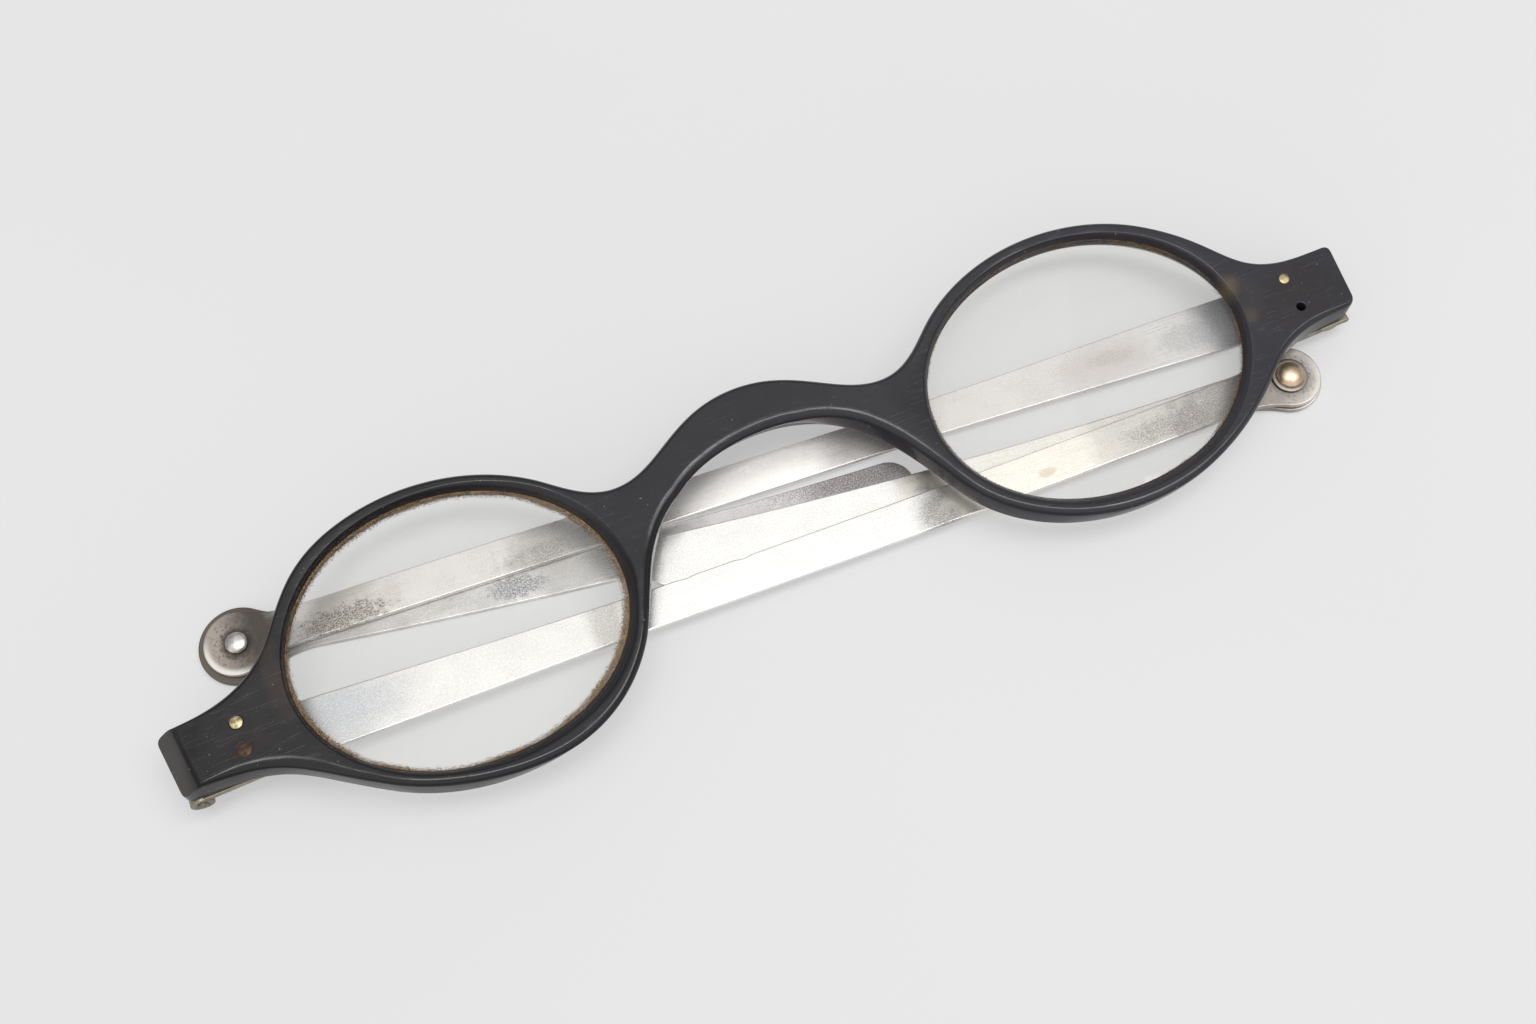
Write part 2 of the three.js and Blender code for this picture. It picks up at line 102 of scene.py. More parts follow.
# arc of a tilted oval: centre plus the tilt's turn of (rx cos, ry sin); also its headings at both ends
def ovalArc(centre, radii, tilt, start, end, count=240):
    angle = np.radians(np.linspace(start, end, count))
    turn = np.array([[math.cos(tilt), math.sin(tilt)], [-math.sin(tilt), math.cos(tilt)]])
    points = np.c_[radii[0] * np.cos(angle), radii[1] * np.sin(angle)] @ turn + centre
    along = np.c_[-radii[0] * np.sin(angle), radii[1] * np.cos(angle)] @ turn * np.sign(end - start)
    along /= np.linalg.norm(along, axis=1, keepdims=True)
    return points, along[0], along[-1]


# closed loop at even steps of its length, running the way asked: +1 counter-clockwise, -1 clockwise
def evenLoop(points, step, way):
    points = np.asarray(points, float)
    ring = np.vstack([points, points[:1]])
    length = np.r_[0, np.cumsum(np.linalg.norm(np.diff(ring, axis=0), axis=1))]
    count = int(round(length[-1] / step))
    at = np.arange(count) * length[-1] / count
    loop = np.c_[np.interp(at, length, ring[:, 0]), np.interp(at, length, ring[:, 1])]
    following = np.roll(loop, -1, axis=0)
    area = np.sum(loop[:, 0] * following[:, 1] - following[:, 0] * loop[:, 1])
    return loop if area * way > 0 else loop[::-1]


# circle as a loop: centre plus radius times (cos, sin) of even angles, run clockwise for a hole
def circleLoop(x, y, radius, count, way=-1):
    angle = np.linspace(0, 2 * np.pi, count, endpoint=False) * way
    return np.c_[x + radius * np.cos(angle), y + radius * np.sin(angle)]


# edge section as [inset, height] from the back's flat to the face's flat: a quarter oval at each edge,
# with its own inset and drop at the back if they differ
def softEdge(low, high, inset, drop, steps=7, land=0.04, back=None):
    t = np.linspace(0, np.pi / 2, steps)
    under, rise = back or (inset, drop)
    foot = np.c_[under - under * np.sin(t), low + rise - rise * np.cos(t)]
    head = np.c_[inset - inset * np.cos(t), high - drop + drop * np.sin(t)]
    return np.vstack([[under + land, low], foot, head, [inset + land, high]])


# unit vectors to the left of a loop's heading, by the points before and after
def leftOf(loop):
    heading = np.roll(loop, -1, axis=0) - np.roll(loop, 1, axis=0)
    heading /= np.linalg.norm(heading, axis=1, keepdims=True)
    return np.c_[-heading[:, 1], heading[:, 0]]


# a section carried round a loop: each point steps in along the left of its heading by the section's inset,
# or by an inset of its own for every row and point
def carry(loop, section, inset=None):
    if inset is None:
        inset = np.repeat(section[:, :1], len(loop), axis=1)
    flat = loop[None] + inset[:, :, None] * leftOf(loop)[None]
    height = np.broadcast_to(section[:, 1][:, None, None], flat.shape[:2] + (1,))
    return np.concatenate([flat, height], axis=2)


# quads between rows of a grid whose rows are closed rings; wrapped also joins the last row to the first
def gridFaces(rows, count, first=0, wrapped=False):
    i, j = np.meshgrid(np.arange(rows if wrapped else rows - 1), np.arange(count), indexing="ij")
    up, on = (i + 1) % rows, (j + 1) % count
    corners = [i * count + j, i * count + on, up * count + on, up * count + j]
    return (np.stack(corners, -1).reshape(-1, 4) + first).tolist()


# triangles that fill flat loops: constrained Delaunay, keeping those with an odd count of loop edges
# crossed on the way out from their centre
def fillFlat(loops):
    points = np.vstack(loops)
    first = np.cumsum([0] + [len(loop) for loop in loops])
    edges = np.vstack([np.c_[np.arange(n), (np.arange(n) + 1) % n] + k
                       for n, k in zip(map(len, loops), first)])
    out = delaunay_2d_cdt([Vector(p) for p in points], edges.tolist(), [], 0, 1e-7)
    source = np.array([origin[0] for origin in out[3]])
    tris = source[np.array(out[2])]
    corner = points[tris]
    centre = corner.mean(axis=1)
    a, b = points[edges[:, 0]], points[edges[:, 1]]
    spans = (a[None, :, 1] > centre[:, None, 1]) != (b[None, :, 1] > centre[:, None, 1])
    rise = np.where(np.abs(b[:, 1] - a[:, 1]) < 1e-12, 1e-12, b[:, 1] - a[:, 1])
    cross = a[:, 0] + (centre[:, None, 1] - a[:, 1]) / rise * (b[:, 0] - a[:, 0])
    tris = tris[(spans & (centre[:, None, 0] < cross)).sum(axis=1) % 2 == 1]
    corner = points[tris]
    one, two = corner[:, 1] - corner[:, 0], corner[:, 2] - corner[:, 0]
    turnsBack = one[:, 0] * two[:, 1] - one[:, 1] * two[:, 0] < 0
    tris[turnsBack] = tris[turnsBack][:, ::-1]
    return tris


# plate of any outline: sections carried round the outline and the holes, and both flats filled
def plateShell(loops, sections, insets=None):
    insets = insets or {}
    rings = [carry(loop, section, insets.get(k)) for k, (loop, section) in enumerate(zip(loops, sections))]
    points, faces, lows, highs, first = [], [], [], [], 0
    for ring in rings:
        rows, count = ring.shape[:2]
        points.append(ring.reshape(-1, 3))
        faces += gridFaces(rows, count, first)
        lows.append(np.arange(count) + first)
        highs.append(np.arange(count) + first + (rows - 1) * count)
        first += rows * count
    low = np.concatenate(lows)[fillFlat([ring[0, :, :2] for ring in rings])]
    high = np.concatenate(highs)[fillFlat([ring[-1, :, :2] for ring in rings])]
    return np.vstack(points), faces + low[:, ::-1].tolist() + high.tolist()


# turned shell about Z from [radius, height] pairs, upwards; ends on the axis close in one point each
def turnedShell(profile, count=64):
    profile = np.asarray(profile, float)
    poles = [k for k in (0, -1) if profile[k, 0] < 1e-9]
    body = profile[(1 if 0 in poles else 0):(-1 if -1 in poles else None)]
    angle = np.linspace(0, 2 * np.pi, count, endpoint=False)
    ring = np.stack([body[:, :1] * np.cos(angle), body[:, :1] * np.sin(angle),
                     np.repeat(body[:, 1:], count, axis=1)], -1)
    points, faces = ring.reshape(-1, 3), gridFaces(len(body), count, wrapped=not poles)
    j = np.arange(count)
    for pole in poles:
        tip = len(points)
        points = np.vstack([points, [0, 0, profile[pole, 1]]])
        base = 0 if pole == 0 else (len(body) - 1) * count
        fan = np.c_[np.full(count, tip), base + (j + 1) % count, base + j]
        faces += (fan if pole == 0 else fan[:, [0, 2, 1]]).tolist()
    return points, faces


# tube about Z with eased edges, as a closed profile
def tubeShell(inner, outer, low, high, ease, count=56):
    profile = [[inner, high], [inner, low], [outer - ease, low], [outer - 0.3 * ease, low + 0.3 * ease],
               [outer, low + ease], [outer, high - ease], [outer - 0.3 * ease, high - 0.3 * ease],
               [outer - ease, high]]
    return turnedShell(profile, count)


# points turned by a placing matrix and then shifted: p times R transposed, plus the shift
def moved(place, points):
    return points @ place[:3, :3].T + place[:3, 3]


alongY = spin((1, 0, 0), -90)          # turned shells about Z, laid along Y


# several shells as one list of points and one of faces, each shell's faces counted on from the last
def joined(*shells):
    points, faces, first = [], [], 0
    for p, f in shells:
        points.append(p)
        faces += [[k + first for k in face] for face in f]
        first += len(p)
    return np.vstack(points), faces


# new object with its data, linked to the scene
def linked(name, data):
    item = bpy.data.objects.new(name, data)
    bpy.context.scene.collection.objects.link(item)
    return item


# object at the origin from a shell in its own millimetre frame; "lay" keeps that frame for the materials
def makePiece(name, shell, place, body, node, material, extra=None):
    points, faces = shell
    mesh = bpy.data.meshes.new(name)
    mesh.from_pydata((moved(place, points) * mm).tolist(), [], faces)
    mesh.attributes.new("lay", "FLOAT_VECTOR", "POINT").data.foreach_set("vector", points.ravel())
    for key, values in (extra or {}).items():
        mesh.attributes.new(key, "FLOAT", "POINT").data.foreach_set("value", np.asarray(values, float))
    mesh.polygons.foreach_set("use_smooth", np.ones(len(mesh.polygons), bool))
    mesh.materials.append(material)
    mesh.update()
    piece = linked(name, mesh)
    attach(piece, body)
    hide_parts(node)
    return piece


# a material's nodes: most methods add one node and give back its output
class Nodes:
    # keeps the tree that the nodes go into
    def __init__(self, tree):
        self.tree = tree

    # new node of a kind
    def add(self, kind):
        return self.tree.nodes.new("ShaderNode" + kind)

    # a socket takes a link where the value is a socket, and the bare number or opaque colour otherwise
    def feed(self, socket, value):
        if isinstance(value, bpy.types.NodeSocket):
            self.tree.links.new(value, socket)
        else:
            socket.default_value = value + (1,) if socket.type == "RGBA" else value

    # new node of a kind with values by the names of its sockets
    def filled(self, kind, **values):
        node = self.add(kind)
        for key, value in values.items():
            self.feed(node.inputs[key.replace("_", " ")], value)
        return node

    # a value or place stored on the points of the piece
    def attribute(self, name, output):
        node = self.add("Attribute")
        node.attribute_name = name
        return node.outputs[output]

    # the x, y and z of a place
    def split(self, vector):
        return self.filled("SeparateXYZ", Vector=vector).outputs

    # operation of a, b and c
    def math(self, operation, a, b=0.0, c=0.0):
        node = self.add("Math")
        node.operation = operation
        for socket, value in zip(node.inputs, (a, b, c)):
            self.feed(socket, value)
        return node.outputs[0]

    # a times b plus c
    def times(self, a, b, c=0.0):
        return self.math("MULTIPLY_ADD", a, b, c)

    # value taken from one range to another along a smooth step, held at the ends
    def range(self, value, low, high, toLow=0.0, toHigh=1.0):
        node = self.add("MapRange")
        node.interpolation_type = "SMOOTHSTEP"
        for socket, number in zip(node.inputs, (value, low, high, toLow, toHigh)):
            self.feed(socket, number)
        return node.outputs[0]

    # fractal noise of a place times scale, from 0 to 1 about 0.5
    def noise(self, where, scale, detail=3.0, rough=0.5, warp=0.0):
        return self.filled("TexNoise", Vector=where, Scale=scale, Detail=detail, Roughness=rough,
                           Distortion=warp).outputs[0]

    # a place times a scale per axis, turned about Z
    def stretched(self, where, scale, turn=0.0):
        turned = (0, 0, math.radians(turn))
        return self.filled("Mapping", Vector=where, Scale=scale, Rotation=turned).outputs[0]

    # object coordinates in millimetres
    def millimetres(self):
        return self.stretched(self.add("TexCoord").outputs["Object"], (1 / mm,) * 3)

    # two colours blended: a times (1 - share) plus b times share
    def blend(self, share, a, b):
        node = self.add("Mix")
        node.data_type = "RGBA"
        for k, value in ((0, share), (6, a), (7, b)):
            self.feed(node.inputs[k], value)
        return node.outputs[2]

    # normal tilted by the slope of a height from 0 to 1 over the given distance in metres
    def bump(self, height, distance, normal=None):
        node = self.filled("Bump", Strength=1.0, Distance=distance, Height=height)
        if normal:
            self.feed(node.inputs["Normal"], normal)
        return node.outputs[0]

    # share of a stain, or of a painted reflection, at a place: the oval distance from its middle,
    # made ragged by noise, faded at its edge
    def stainOrLightShare(self, x, y, ragged, spot):
        dx, dy = (self.times(value, 1 / size, -at / size)
                  for value, size, at in zip((x, y), spot["size"], spot["at"]))
        square = self.times(dx, dx, self.times(dy, dy))
        distance = self.times(ragged, spot["ragged"], self.math("SQRT", square))
        return self.range(distance, spot["core"] + 0.5, 1.7, spot["amount"], 0.0)

    # the tree's output, joined to a shader
    def finish(self, shader):
        self.feed(self.add("OutputMaterial").inputs[0], shader)

    # principled surface from named sockets, joined to the output
    def surface(self, **values):
        self.finish(self.filled("BsdfPrincipled", **values).outputs[0])


# empty node material with its nodes
def newMaterial(name):
    material = bpy.data.materials.new(name)
    material.use_nodes = True
    material.node_tree.nodes.clear()
    return material, Nodes(material.node_tree)


# a stain, or a painted reflection: its middle and reach in millimetres, its tone and the share it hides,
# how far in it starts to fade, how ragged its edge is, and whether it breaks up into crumbs
def stainOrLightPatch(x, y, long, wide, tone, amount, core=0.5, ragged=2.6, crumbs=False):
    return {"at": (x, y), "size": (long, wide), "tone": tone, "amount": amount, "core": core,
            "ragged": ragged, "crumbs": crumbs}


# silver gone uneven: mottling, faint lengthwise scratches, brown speckles, placed stains and painted
# reflections, and round a disc's middle a painted shade by the side, pepper and a darker ring against the
# pin, and a painted highlight inside its rim by the distance
def silverFinish(name, look, at=0.0, radius=0.0):
    material, n = newMaterial(name)
    lay = n.attribute("lay", "Vector")
    x, y, _ = n.split(lay)
    ragged = n.math("SUBTRACT", n.noise(lay, 0.5, 7, 0.66), 0.5)
    crumbled = n.math("SUBTRACT", n.noise(lay, 1.9, 6, 0.7), 0.5)
    mottle = n.noise(lay, 0.28, 6, 0.62, 0.4)
    fine = n.noise(lay, 2.2, 5, 0.65)
    grain = n.noise(lay, 6.5, 4, 0.7)
    streaks = n.noise(n.stretched(lay, (0.25, 9, 1), 1.5), 1.0, 3, 0.6)
    hair = n.noise(n.stretched(lay, (0.7, 30, 1), -6), 1.0, 2, 0.5)

    colour = n.blend(n.range(mottle, 0.38, 0.68, 0, look["mottle"]), look["bright"], look["cloud"])
    colour = n.blend(n.range(grain, 0.4, 0.63, 0, look["grain"]), colour, look["cloud"])
    specks = n.times(n.range(fine, 0.56, 0.7), n.range(mottle, 0.42, 0.62))
    colour = n.blend(n.times(specks, look["specks"]), colour, (0.26, 0.19, 0.14))
    dulled = n.times(specks, 0.2)
    broken = n.range(grain, 0.36, 0.6, 0.55, 1.0)
    flecked = n.range(grain, 0.4, 0.57, 0.1, 1.0)
    for spot in look["stainsAndReflections"]:
        edge, cover = (crumbled, flecked) if spot["crumbs"] else (ragged, broken)
        share = n.times(n.stainOrLightShare(x, y, edge, spot), cover)
        colour = n.blend(share, colour, spot["tone"])
        dulled = n.times(share, 0.12, dulled)
    if "disc" in look:
        disc = look["disc"]
        dx = n.math("SUBTRACT", x, at)
        off = n.math("SQRT", n.times(dx, dx, n.times(y, y)))
        loose = n.times(ragged, 2.4, off)
        pin = disc["pin"]
        # painted shade: the disc darker on one side and lighter on the other, along the "shade" range
        tone = n.blend(n.range(n.times(ragged, 3.0, dx), *disc["shade"]), disc["dark"], disc["light"])
        colour = n.blend(n.range(loose, radius + 0.3, radius + 3.6, disc["amount"], 0), colour, tone)
        pepper = n.times(n.range(n.noise(lay, 3.2, 5, 0.7), 0.52, 0.62),
                         n.range(off, pin + 0.2, radius + 0.6, disc["pepper"], 0))
        colour = n.blend(pepper, colour, (0.06, 0.042, 0.046))
        # a darker ring round the pin's foot
        against = n.range(n.times(crumbled, 1.2, off), pin, pin + 0.75, disc["darkRing"], 0)
        colour = n.blend(against, colour, (0.03, 0.024, 0.02))
        # painted highlight: a pale crescent inside the disc's rim on the side that "gleam" points to
        facing = n.times(y, disc["gleam"][1], n.times(dx, disc["gleam"][0]))
        rimHighlight = n.times(n.range(off, radius - 0.75, radius - 0.25),
                         n.range(facing, 0.3 * radius, 1.2 * radius, 0, disc["rimHighlight"]))
        colour = n.blend(rimHighlight, colour, (0.8, 0.76, 0.7))
        dulled = n.times(n.range(off, radius, radius + 2, 1, 0), 0.08, dulled)
    rough = n.math("ADD", n.range(streaks, 0.3, 0.75, look["rough"], look["rough"] + 0.05), dulled)
    normal = n.bump(n.noise(lay, 0.09, 2, 0.4), 0.00035 * look["wavy"])
    height = n.times(hair, 0.6, n.times(grain, 0.8, streaks))
    normal = n.bump(height, 0.0000011, normal)
    n.surface(Base_Color=colour, Metallic=look["metal"], Roughness=rough, Normal=normal)
    return material


plainSilver = {"bright": (0.88, 0.865, 0.83), "mottle": 0.35, "cloud": (0.6, 0.57, 0.54), "specks": 0.4,
               "grain": 0.2, "rough": 0.28, "wavy": 0.2, "metal": 0.9, "stainsAndReflections": []}
hingeSilver = {**plainSilver, "bright": (0.3, 0.27, 0.205), "cloud": (0.1, 0.085, 0.065), "mottle": 0.8,
               "rough": 0.36}
washerSilver = {**plainSilver, "bright": (0.3, 0.27, 0.24), "cloud": (0.14, 0.12, 0.1), "mottle": 0.7,
                "rough": 0.36}

horn = {"lensX": 31.7, "lensY": 0.25, "tilt": math.radians(6), "opening": (15.6, 12.9), "rim": (17.35, 14.3),
        "back": 1.15, "face": 4.45, "bridgeTop": 11.45, "bridgeCrown": 6.4, "archTop": 7.35,
        "archCrown": 11.7, "archLeg": 5.3, "dip": (13.45, 6.65), "dipReach": 4.35, "dipEase": 2.4,
        "browStart": 130.4, "noseEnd": -155.2, "endBottom": -4.6, "endMiddle": -1.4, "endFlare": 6.4,
        "bevelDepth": 1.85, "inset": 0.95, "rimInset": 0.55, "drop": 0.75, "backEase": (0.3, 0.4),
        "lip": 3.6, "creaseRadius": 0.9, "step": 0.28, "openingStep": 0.25, "holeRoom": 0.03}
rivets = {"left_rivet_upper": {"at": (-52.2, -0.5), "radius": 0.6},
          "left_rivet_lower": {"at": (-52.3, -3.1), "radius": 0.62},
          "right_rivet_upper": {"at": (53.0, 0.3), "radius": 0.52}}
emptyHole = {"at": (53.0, -2.95), "radius": 0.42}


# half outline from the bridge's crown round the rim to the nose arch: smooth curves between rim arcs
def halfOutline(side):
    h = horn
    centre = np.array([h["lensX"], h["lensY"]])
    topLeave, topRim, topEnd = side["neckTop"]
    lowLeave, lowRim, lowEnd = side["neckLow"]
    brow, browIn, browOut = ovalArc(centre, h["rim"], h["tilt"], h["browStart"], topLeave)
    cheek, cheekIn, cheekOut = ovalArc(centre, h["rim"], h["tilt"], lowLeave, h["noseEnd"])
    level, top, bottom, corner = np.array([1.0, 0.0]), side["endTop"], h["endBottom"], side["endCorner"]
    flare = math.tan(math.radians(h["endFlare"]))
    wall = lambda y: np.array([side["endWall"] + (y - h["endMiddle"]) * flare, y])
    crown, dip = np.array([0, h["bridgeTop"]]), np.array(h["dip"])
    topStop, lowStop = wall(top) - level * corner, wall(bottom) - level * corner
    quad = lambda a, b, c: cubic(a, a + (b - a) * 2 / 3, c + (b - c) * 2 / 3, c, 24)
    arch = np.array([0, h["archTop"]])
    runs = [
        cubic(crown, crown + level * h["bridgeCrown"], dip - level * h["dipReach"], dip),
        cubic(dip, dip + level * h["dipEase"], brow[0] - browIn * h["dipEase"], brow[0]),
        brow,
        cubic(brow[-1], brow[-1] + browOut * topRim, topStop - level * topEnd, topStop),
        quad(topStop, wall(top), wall(top - corner)),
        quad(wall(bottom + corner), wall(bottom), lowStop),
        cubic(lowStop, lowStop - level * lowEnd, cheek[0] - cheekIn * lowRim, cheek[0]),
        cheek,
        cubic(cheek[-1], cheek[-1] + cheekOut * h["archLeg"], arch + level * h["archCrown"], arch),
    ]
    points = np.vstack(runs)
    return points[np.r_[True, np.linalg.norm(np.diff(points, axis=0), axis=1) > 1e-6]]


mirror = np.array([-1.0, 1.0])
outline = np.vstack([halfOutline(sides["right"]), (halfOutline(sides["left"]) * mirror)[::-1][1:-1]])
loops = [evenLoop(outline, horn["step"], 1)]
sections = [softEdge(horn["back"], horn["face"], horn["inset"], horn["drop"], 10,
                     back=horn["backEase"])]
# the nose arch is eased more broadly than the rims, the ends less
across, height = np.abs(loops[0][:, 0]), loops[0][:, 1]
archward = np.clip((17 - across) / 4, 0, 1) * (height < 9.4 - 0.4 * across)
archward = archward ** 2 * (3 - 2 * archward)
narrow = horn["rimInset"] / horn["inset"]
endward = np.clip((across - 53.5) / 3, 0, 1)
# the left rim's thinnest place is eased less, the left neck's lower edge more
thin = np.exp(-((loops[0] - (-46.2, 7.5)) ** 2).sum(axis=1) / 3.2 ** 2)
neckward = np.exp(-((loops[0][:, 0] + 49) / 4.5) ** 2) * (height < -3)
hornSwell = (narrow + (1 - narrow) * archward) * (1 - 0.5 * endward) * (1 - 0.25 * thin)
hornSwell = hornSwell * (1 + 0.9 * neckward)


# even hump by the angle round a lens, in degrees from its middle
def humpAt(points, sign, middle, wide):
    angle = np.degrees(np.arctan2(points[:, 1] - horn["lensY"], points[:, 0] - sign * horn["lensX"]))
    return np.exp(-(((angle - middle + 180) % 360 - 180) / wide) ** 2)


# seen from the photo's side, the face overhangs the back at the lower rims and most at the arch
archOver = {"x": (-13, -9, -4, 1, 5, 10), "over": (0, 1.0, 1.0, 0.85, 0.7, 0), "reach": 13}
outward = -leftOf(loops[0])
overhang = np.interp(loops[0][:, 0], archOver["x"], archOver["over"])
overhang = overhang * np.clip(-outward[:, 1], 0, 1) * (across < archOver["reach"])
onLeft = loops[0][:, 0] < 0
for side in sides.values():
    lower = side["lowerRim"]
    near = onLeft if side["sign"] < 0 else ~onLeft
    overhang = overhang + near * lower["over"] * humpAt(loops[0], side["sign"], *lower["overAt"])
    bulge = near * lower["out"] * humpAt(loops[0], side["sign"], *lower["outAt"])
    loops[0] = loops[0] + outward * bulge[:, None]
edge = sections[0]
rise = np.clip((edge[:, 1] - horn["back"]) / (horn["face"] - horn["drop"] - horn["back"]), 0, 1)
insets = {0: edge[:, :1] * hornSwell[None] - rise[:, None] * overhang[None]}
flatEdge = carry(loops[0], edge, insets[0])[-1, :, :2]
rimAmount = [np.zeros(len(sections[0]))]
# opening: widening behind the lens, groove, lip, straight slope, then a crest whose slope falls evenly to 0
crest = {"start": 0.25, "end": 0.78, "low": 4.011, "slope": 1.656}
run = np.linspace(0, 1, 9)[1:] * (crest["end"] - crest["start"])
crestCurve = np.c_[crest["start"] + run, crest["low"] + crest["slope"] * (run - run ** 2 / 2 / run[-1])]
openingSection = np.vstack([
    [[0.76, horn["back"]], [0.72, 1.155], [0.66, 1.22], [0.06, 2.42], [0.0, 2.5], [0, 2.6], [0.3, 2.6],
     [0.58, 2.85], [0.58, 3.3], [0.3, 3.5], [0, 3.5], [0, 3.57], [0, horn["lip"]], [0.015, 3.63],
     [0.05, 3.68], [crest["start"], crest["low"]]], crestCurve])
shelfRows, slopeRow = 7, 13          # rows that form the shelf, and the first row of the slope
openingRim = np.r_[np.full(5, 0.4), np.full(8, 1.0), [1, 0.7, 0.15, 0.08], np.zeros(7)]
for side in sides.values():
    centre = np.array([side["sign"] * horn["lensX"], horn["lensY"]])
    oval = ovalArc(centre, horn["opening"], side["sign"] * horn["tilt"], 0, 360, 721)[0][:-1]
    for amount, middle, wide in side["openingHumps"]:
        oval = oval + (oval - centre) * (amount * humpAt(oval, side["sign"], middle, wide))[:, None]
    loop = evenLoop(oval, horn["openingStep"], -1)
    room = np.linalg.norm(loop[:, None] - flatEdge[None], axis=2).min(axis=1)
    mean, change, towards = side["crest"]
    angle = np.arctan2(loop[:, 1] - centre[1], loop[:, 0] - centre[0]) - math.radians(towards)
    width = np.minimum(mean + change * np.cos(angle), room - 0.08)
    inset = np.repeat(openingSection[:, :1], len(loop), axis=1)
    inset[slopeRow:] *= width[None] / crest["end"]
    inset[:shelfRows] += side["sunk"] * humpAt(loop, side["sign"], -10, 35)[None]
    insets[len(loops)] = inset
    loops.append(loop)
    sections.append(openingSection)
    rimAmount.append(openingRim)
for hole in [*rivets.values(), emptyHole]:
    loops.append(circleLoop(*hole["at"], hole["radius"] + horn["holeRoom"], 40))
    sections.append(softEdge(horn["back"], horn["face"], 0.06, 0.06, 4, 0.02))
    rimAmount.append(np.full(len(sections[-1]), 0.3))
hornShell = plateShell(loops, sections, insets)
hornRim = np.concatenate([np.repeat(amount, len(loop)) for amount, loop in zip(rimAmount, loops)])
print("horn outline:", len(loops[0]), "points round,", len(hornShell[0]), "points in all")


# satin horn: near black with brown at the thin edges, fine scratches in two directions
def hornFinish():
    material, n = newMaterial("horn_satin")
    place = n.millimetres()
    lay = n.attribute("lay", "Vector")
    x, y, _ = n.split(lay)
    rim = n.attribute("rim", "Fac")
    cloud = n.noise(place, 0.12, 4, 0.55, 0.6)
    grain = n.noise(place, 3.0, 4, 0.6)
    ragged = n.math("SUBTRACT", n.noise(place, 0.5, 5, 0.6), 0.5)
    # painted sheen: the face gets lighter from the left end to the right end, standing in for the stronger
    # reflection at the right
    colour = n.blend(n.range(x, -56, 56), (0.0045, 0.004, 0.0054), (0.024, 0.0226, 0.028))
    colour = n.blend(n.range(cloud, 0.35, 0.7, 0, 0.3), colour, (0.003, 0.0029, 0.0034))
    brown = n.times(rim, n.range(n.math("ADD", ragged, 0.5), 0.3, 0.7, 0.35, 0.9))
    colour = n.blend(brown, colour, (0.03, 0.0165, 0.009))
    for spot in hornSpotsAndSheen:
        colour = n.blend(n.stainOrLightShare(x, y, ragged, spot), colour, spot["tone"])
    dust = n.range(n.noise(place, 3.4, 1, 0.5), 0.76, 0.82, 0, 0.5)
    colour = n.blend(dust, colour, (0.3, 0.29, 0.28))
    one = n.noise(n.stretched(place, (0.22, 8, 1), 28), 1.0, 2, 0.55)
    two = n.noise(n.stretched(place, (0.3, 10, 1), -57), 1.0, 2, 0.55)
    lines = n.math("ADD", n.range(one, 0.6, 0.72), n.range(two, 0.62, 0.74))
    rough = n.times(lines, 0.06, n.range(cloud, 0.3, 0.7, 0.14, 0.19))
    height = n.times(lines, -0.5, n.times(grain, 0.5))
    wave = n.bump(n.noise(place, 0.16, 2, 0.4), 0.00025)
    normal = n.bump(height, 0.000006, wave)
    upright = n.split(n.add("TexCoord").outputs["Normal"])[2]
    gloss = n.range(upright, 0.3, 0.9, 0.12, 0.5)          # sawn walls shine less than the face
    n.surface(Base_Color=colour, Roughness=rough, Normal=normal, IOR=1.47, Specular_IOR_Level=gloss)
    return material


hornSpotsAndSheen = [
    stainOrLightPatch(47.7, 1.6, 1, 1, (0.1, 0.074, 0.044), 0.7, core=-0.4, ragged=2),
    stainOrLightPatch(48.2, -1.8, 0.7, 0.7, (0.06, 0.047, 0.034), 0.6, core=-0.4, ragged=2),
    stainOrLightPatch(-47.8, 2, 0.9, 4, (0.03, 0.019, 0.014), 0.6, core=0, ragged=1.4),
    # painted reflection: a lighter band on the left end's bevel, for the floor it mirrors
    stainOrLightPatch(-58.6, -1.4, 0.95, 4.5, (0.042, 0.036, 0.034), 0.85, core=0, ragged=0.5),
]
hornPiece = makePiece("horn_front_shaped", hornShell, frontPlace, "front", "horn_front", hornFinish(),
                      {"rim": hornRim})


# an end's bevel: the shell is cut by planes whose tilt grows from the face's to the bevel's, each touching
# a circle of the crease's radius, and every cut is closed
def bevelEnd(piece, side):
    run, sign = side["endWall"] - side["bevelFace"], side["sign"]
    full = math.atan2(horn["bevelDepth"], run)
    radius, steps = horn["creaseRadius"], 5
    local = (frontPlace @ shift(sign * side["bevelFace"], horn["endMiddle"], horn["face"])
             @ spin(zAxis, -sign * horn["endFlare"]))
    data = bmesh.new()
    data.from_mesh(piece.data)
    for k in range(1, steps + 1):
        tilt = full * k / steps
        outward = np.array([sign * math.sin(tilt), 0, math.cos(tilt)])
        touch = outward * radius - (sign * radius * math.tan(full / 2), 0, radius)
        cut = bmesh.ops.bisect_plane(
            data, geom=[*data.verts, *data.edges, *data.faces], dist=1e-9, clear_outer=True,
            plane_co=Vector(moved(local, touch) * mm), plane_no=Vector(local[:3, :3] @ outward))
        edges = [e for e in cut["geom_cut"] if isinstance(e, bmesh.types.BMEdge)]
        bmesh.ops.edgeloop_fill(data, edges=edges)
        for edge in edges:
            edge.smooth = False
    bmesh.ops.recalc_face_normals(data, faces=data.faces)
    data.to_mesh(piece.data)
    data.free()


for side in sides.values():
    if side["bevelFace"]:
        bevelEnd(hornPiece, side)
print("horn front made:", len(hornPiece.data.polygons), "faces")

lens = {"lip": 0.45, "edge": 0.6, "bulge": 0.5, "bevel": 0.2, "middle": 3.1}


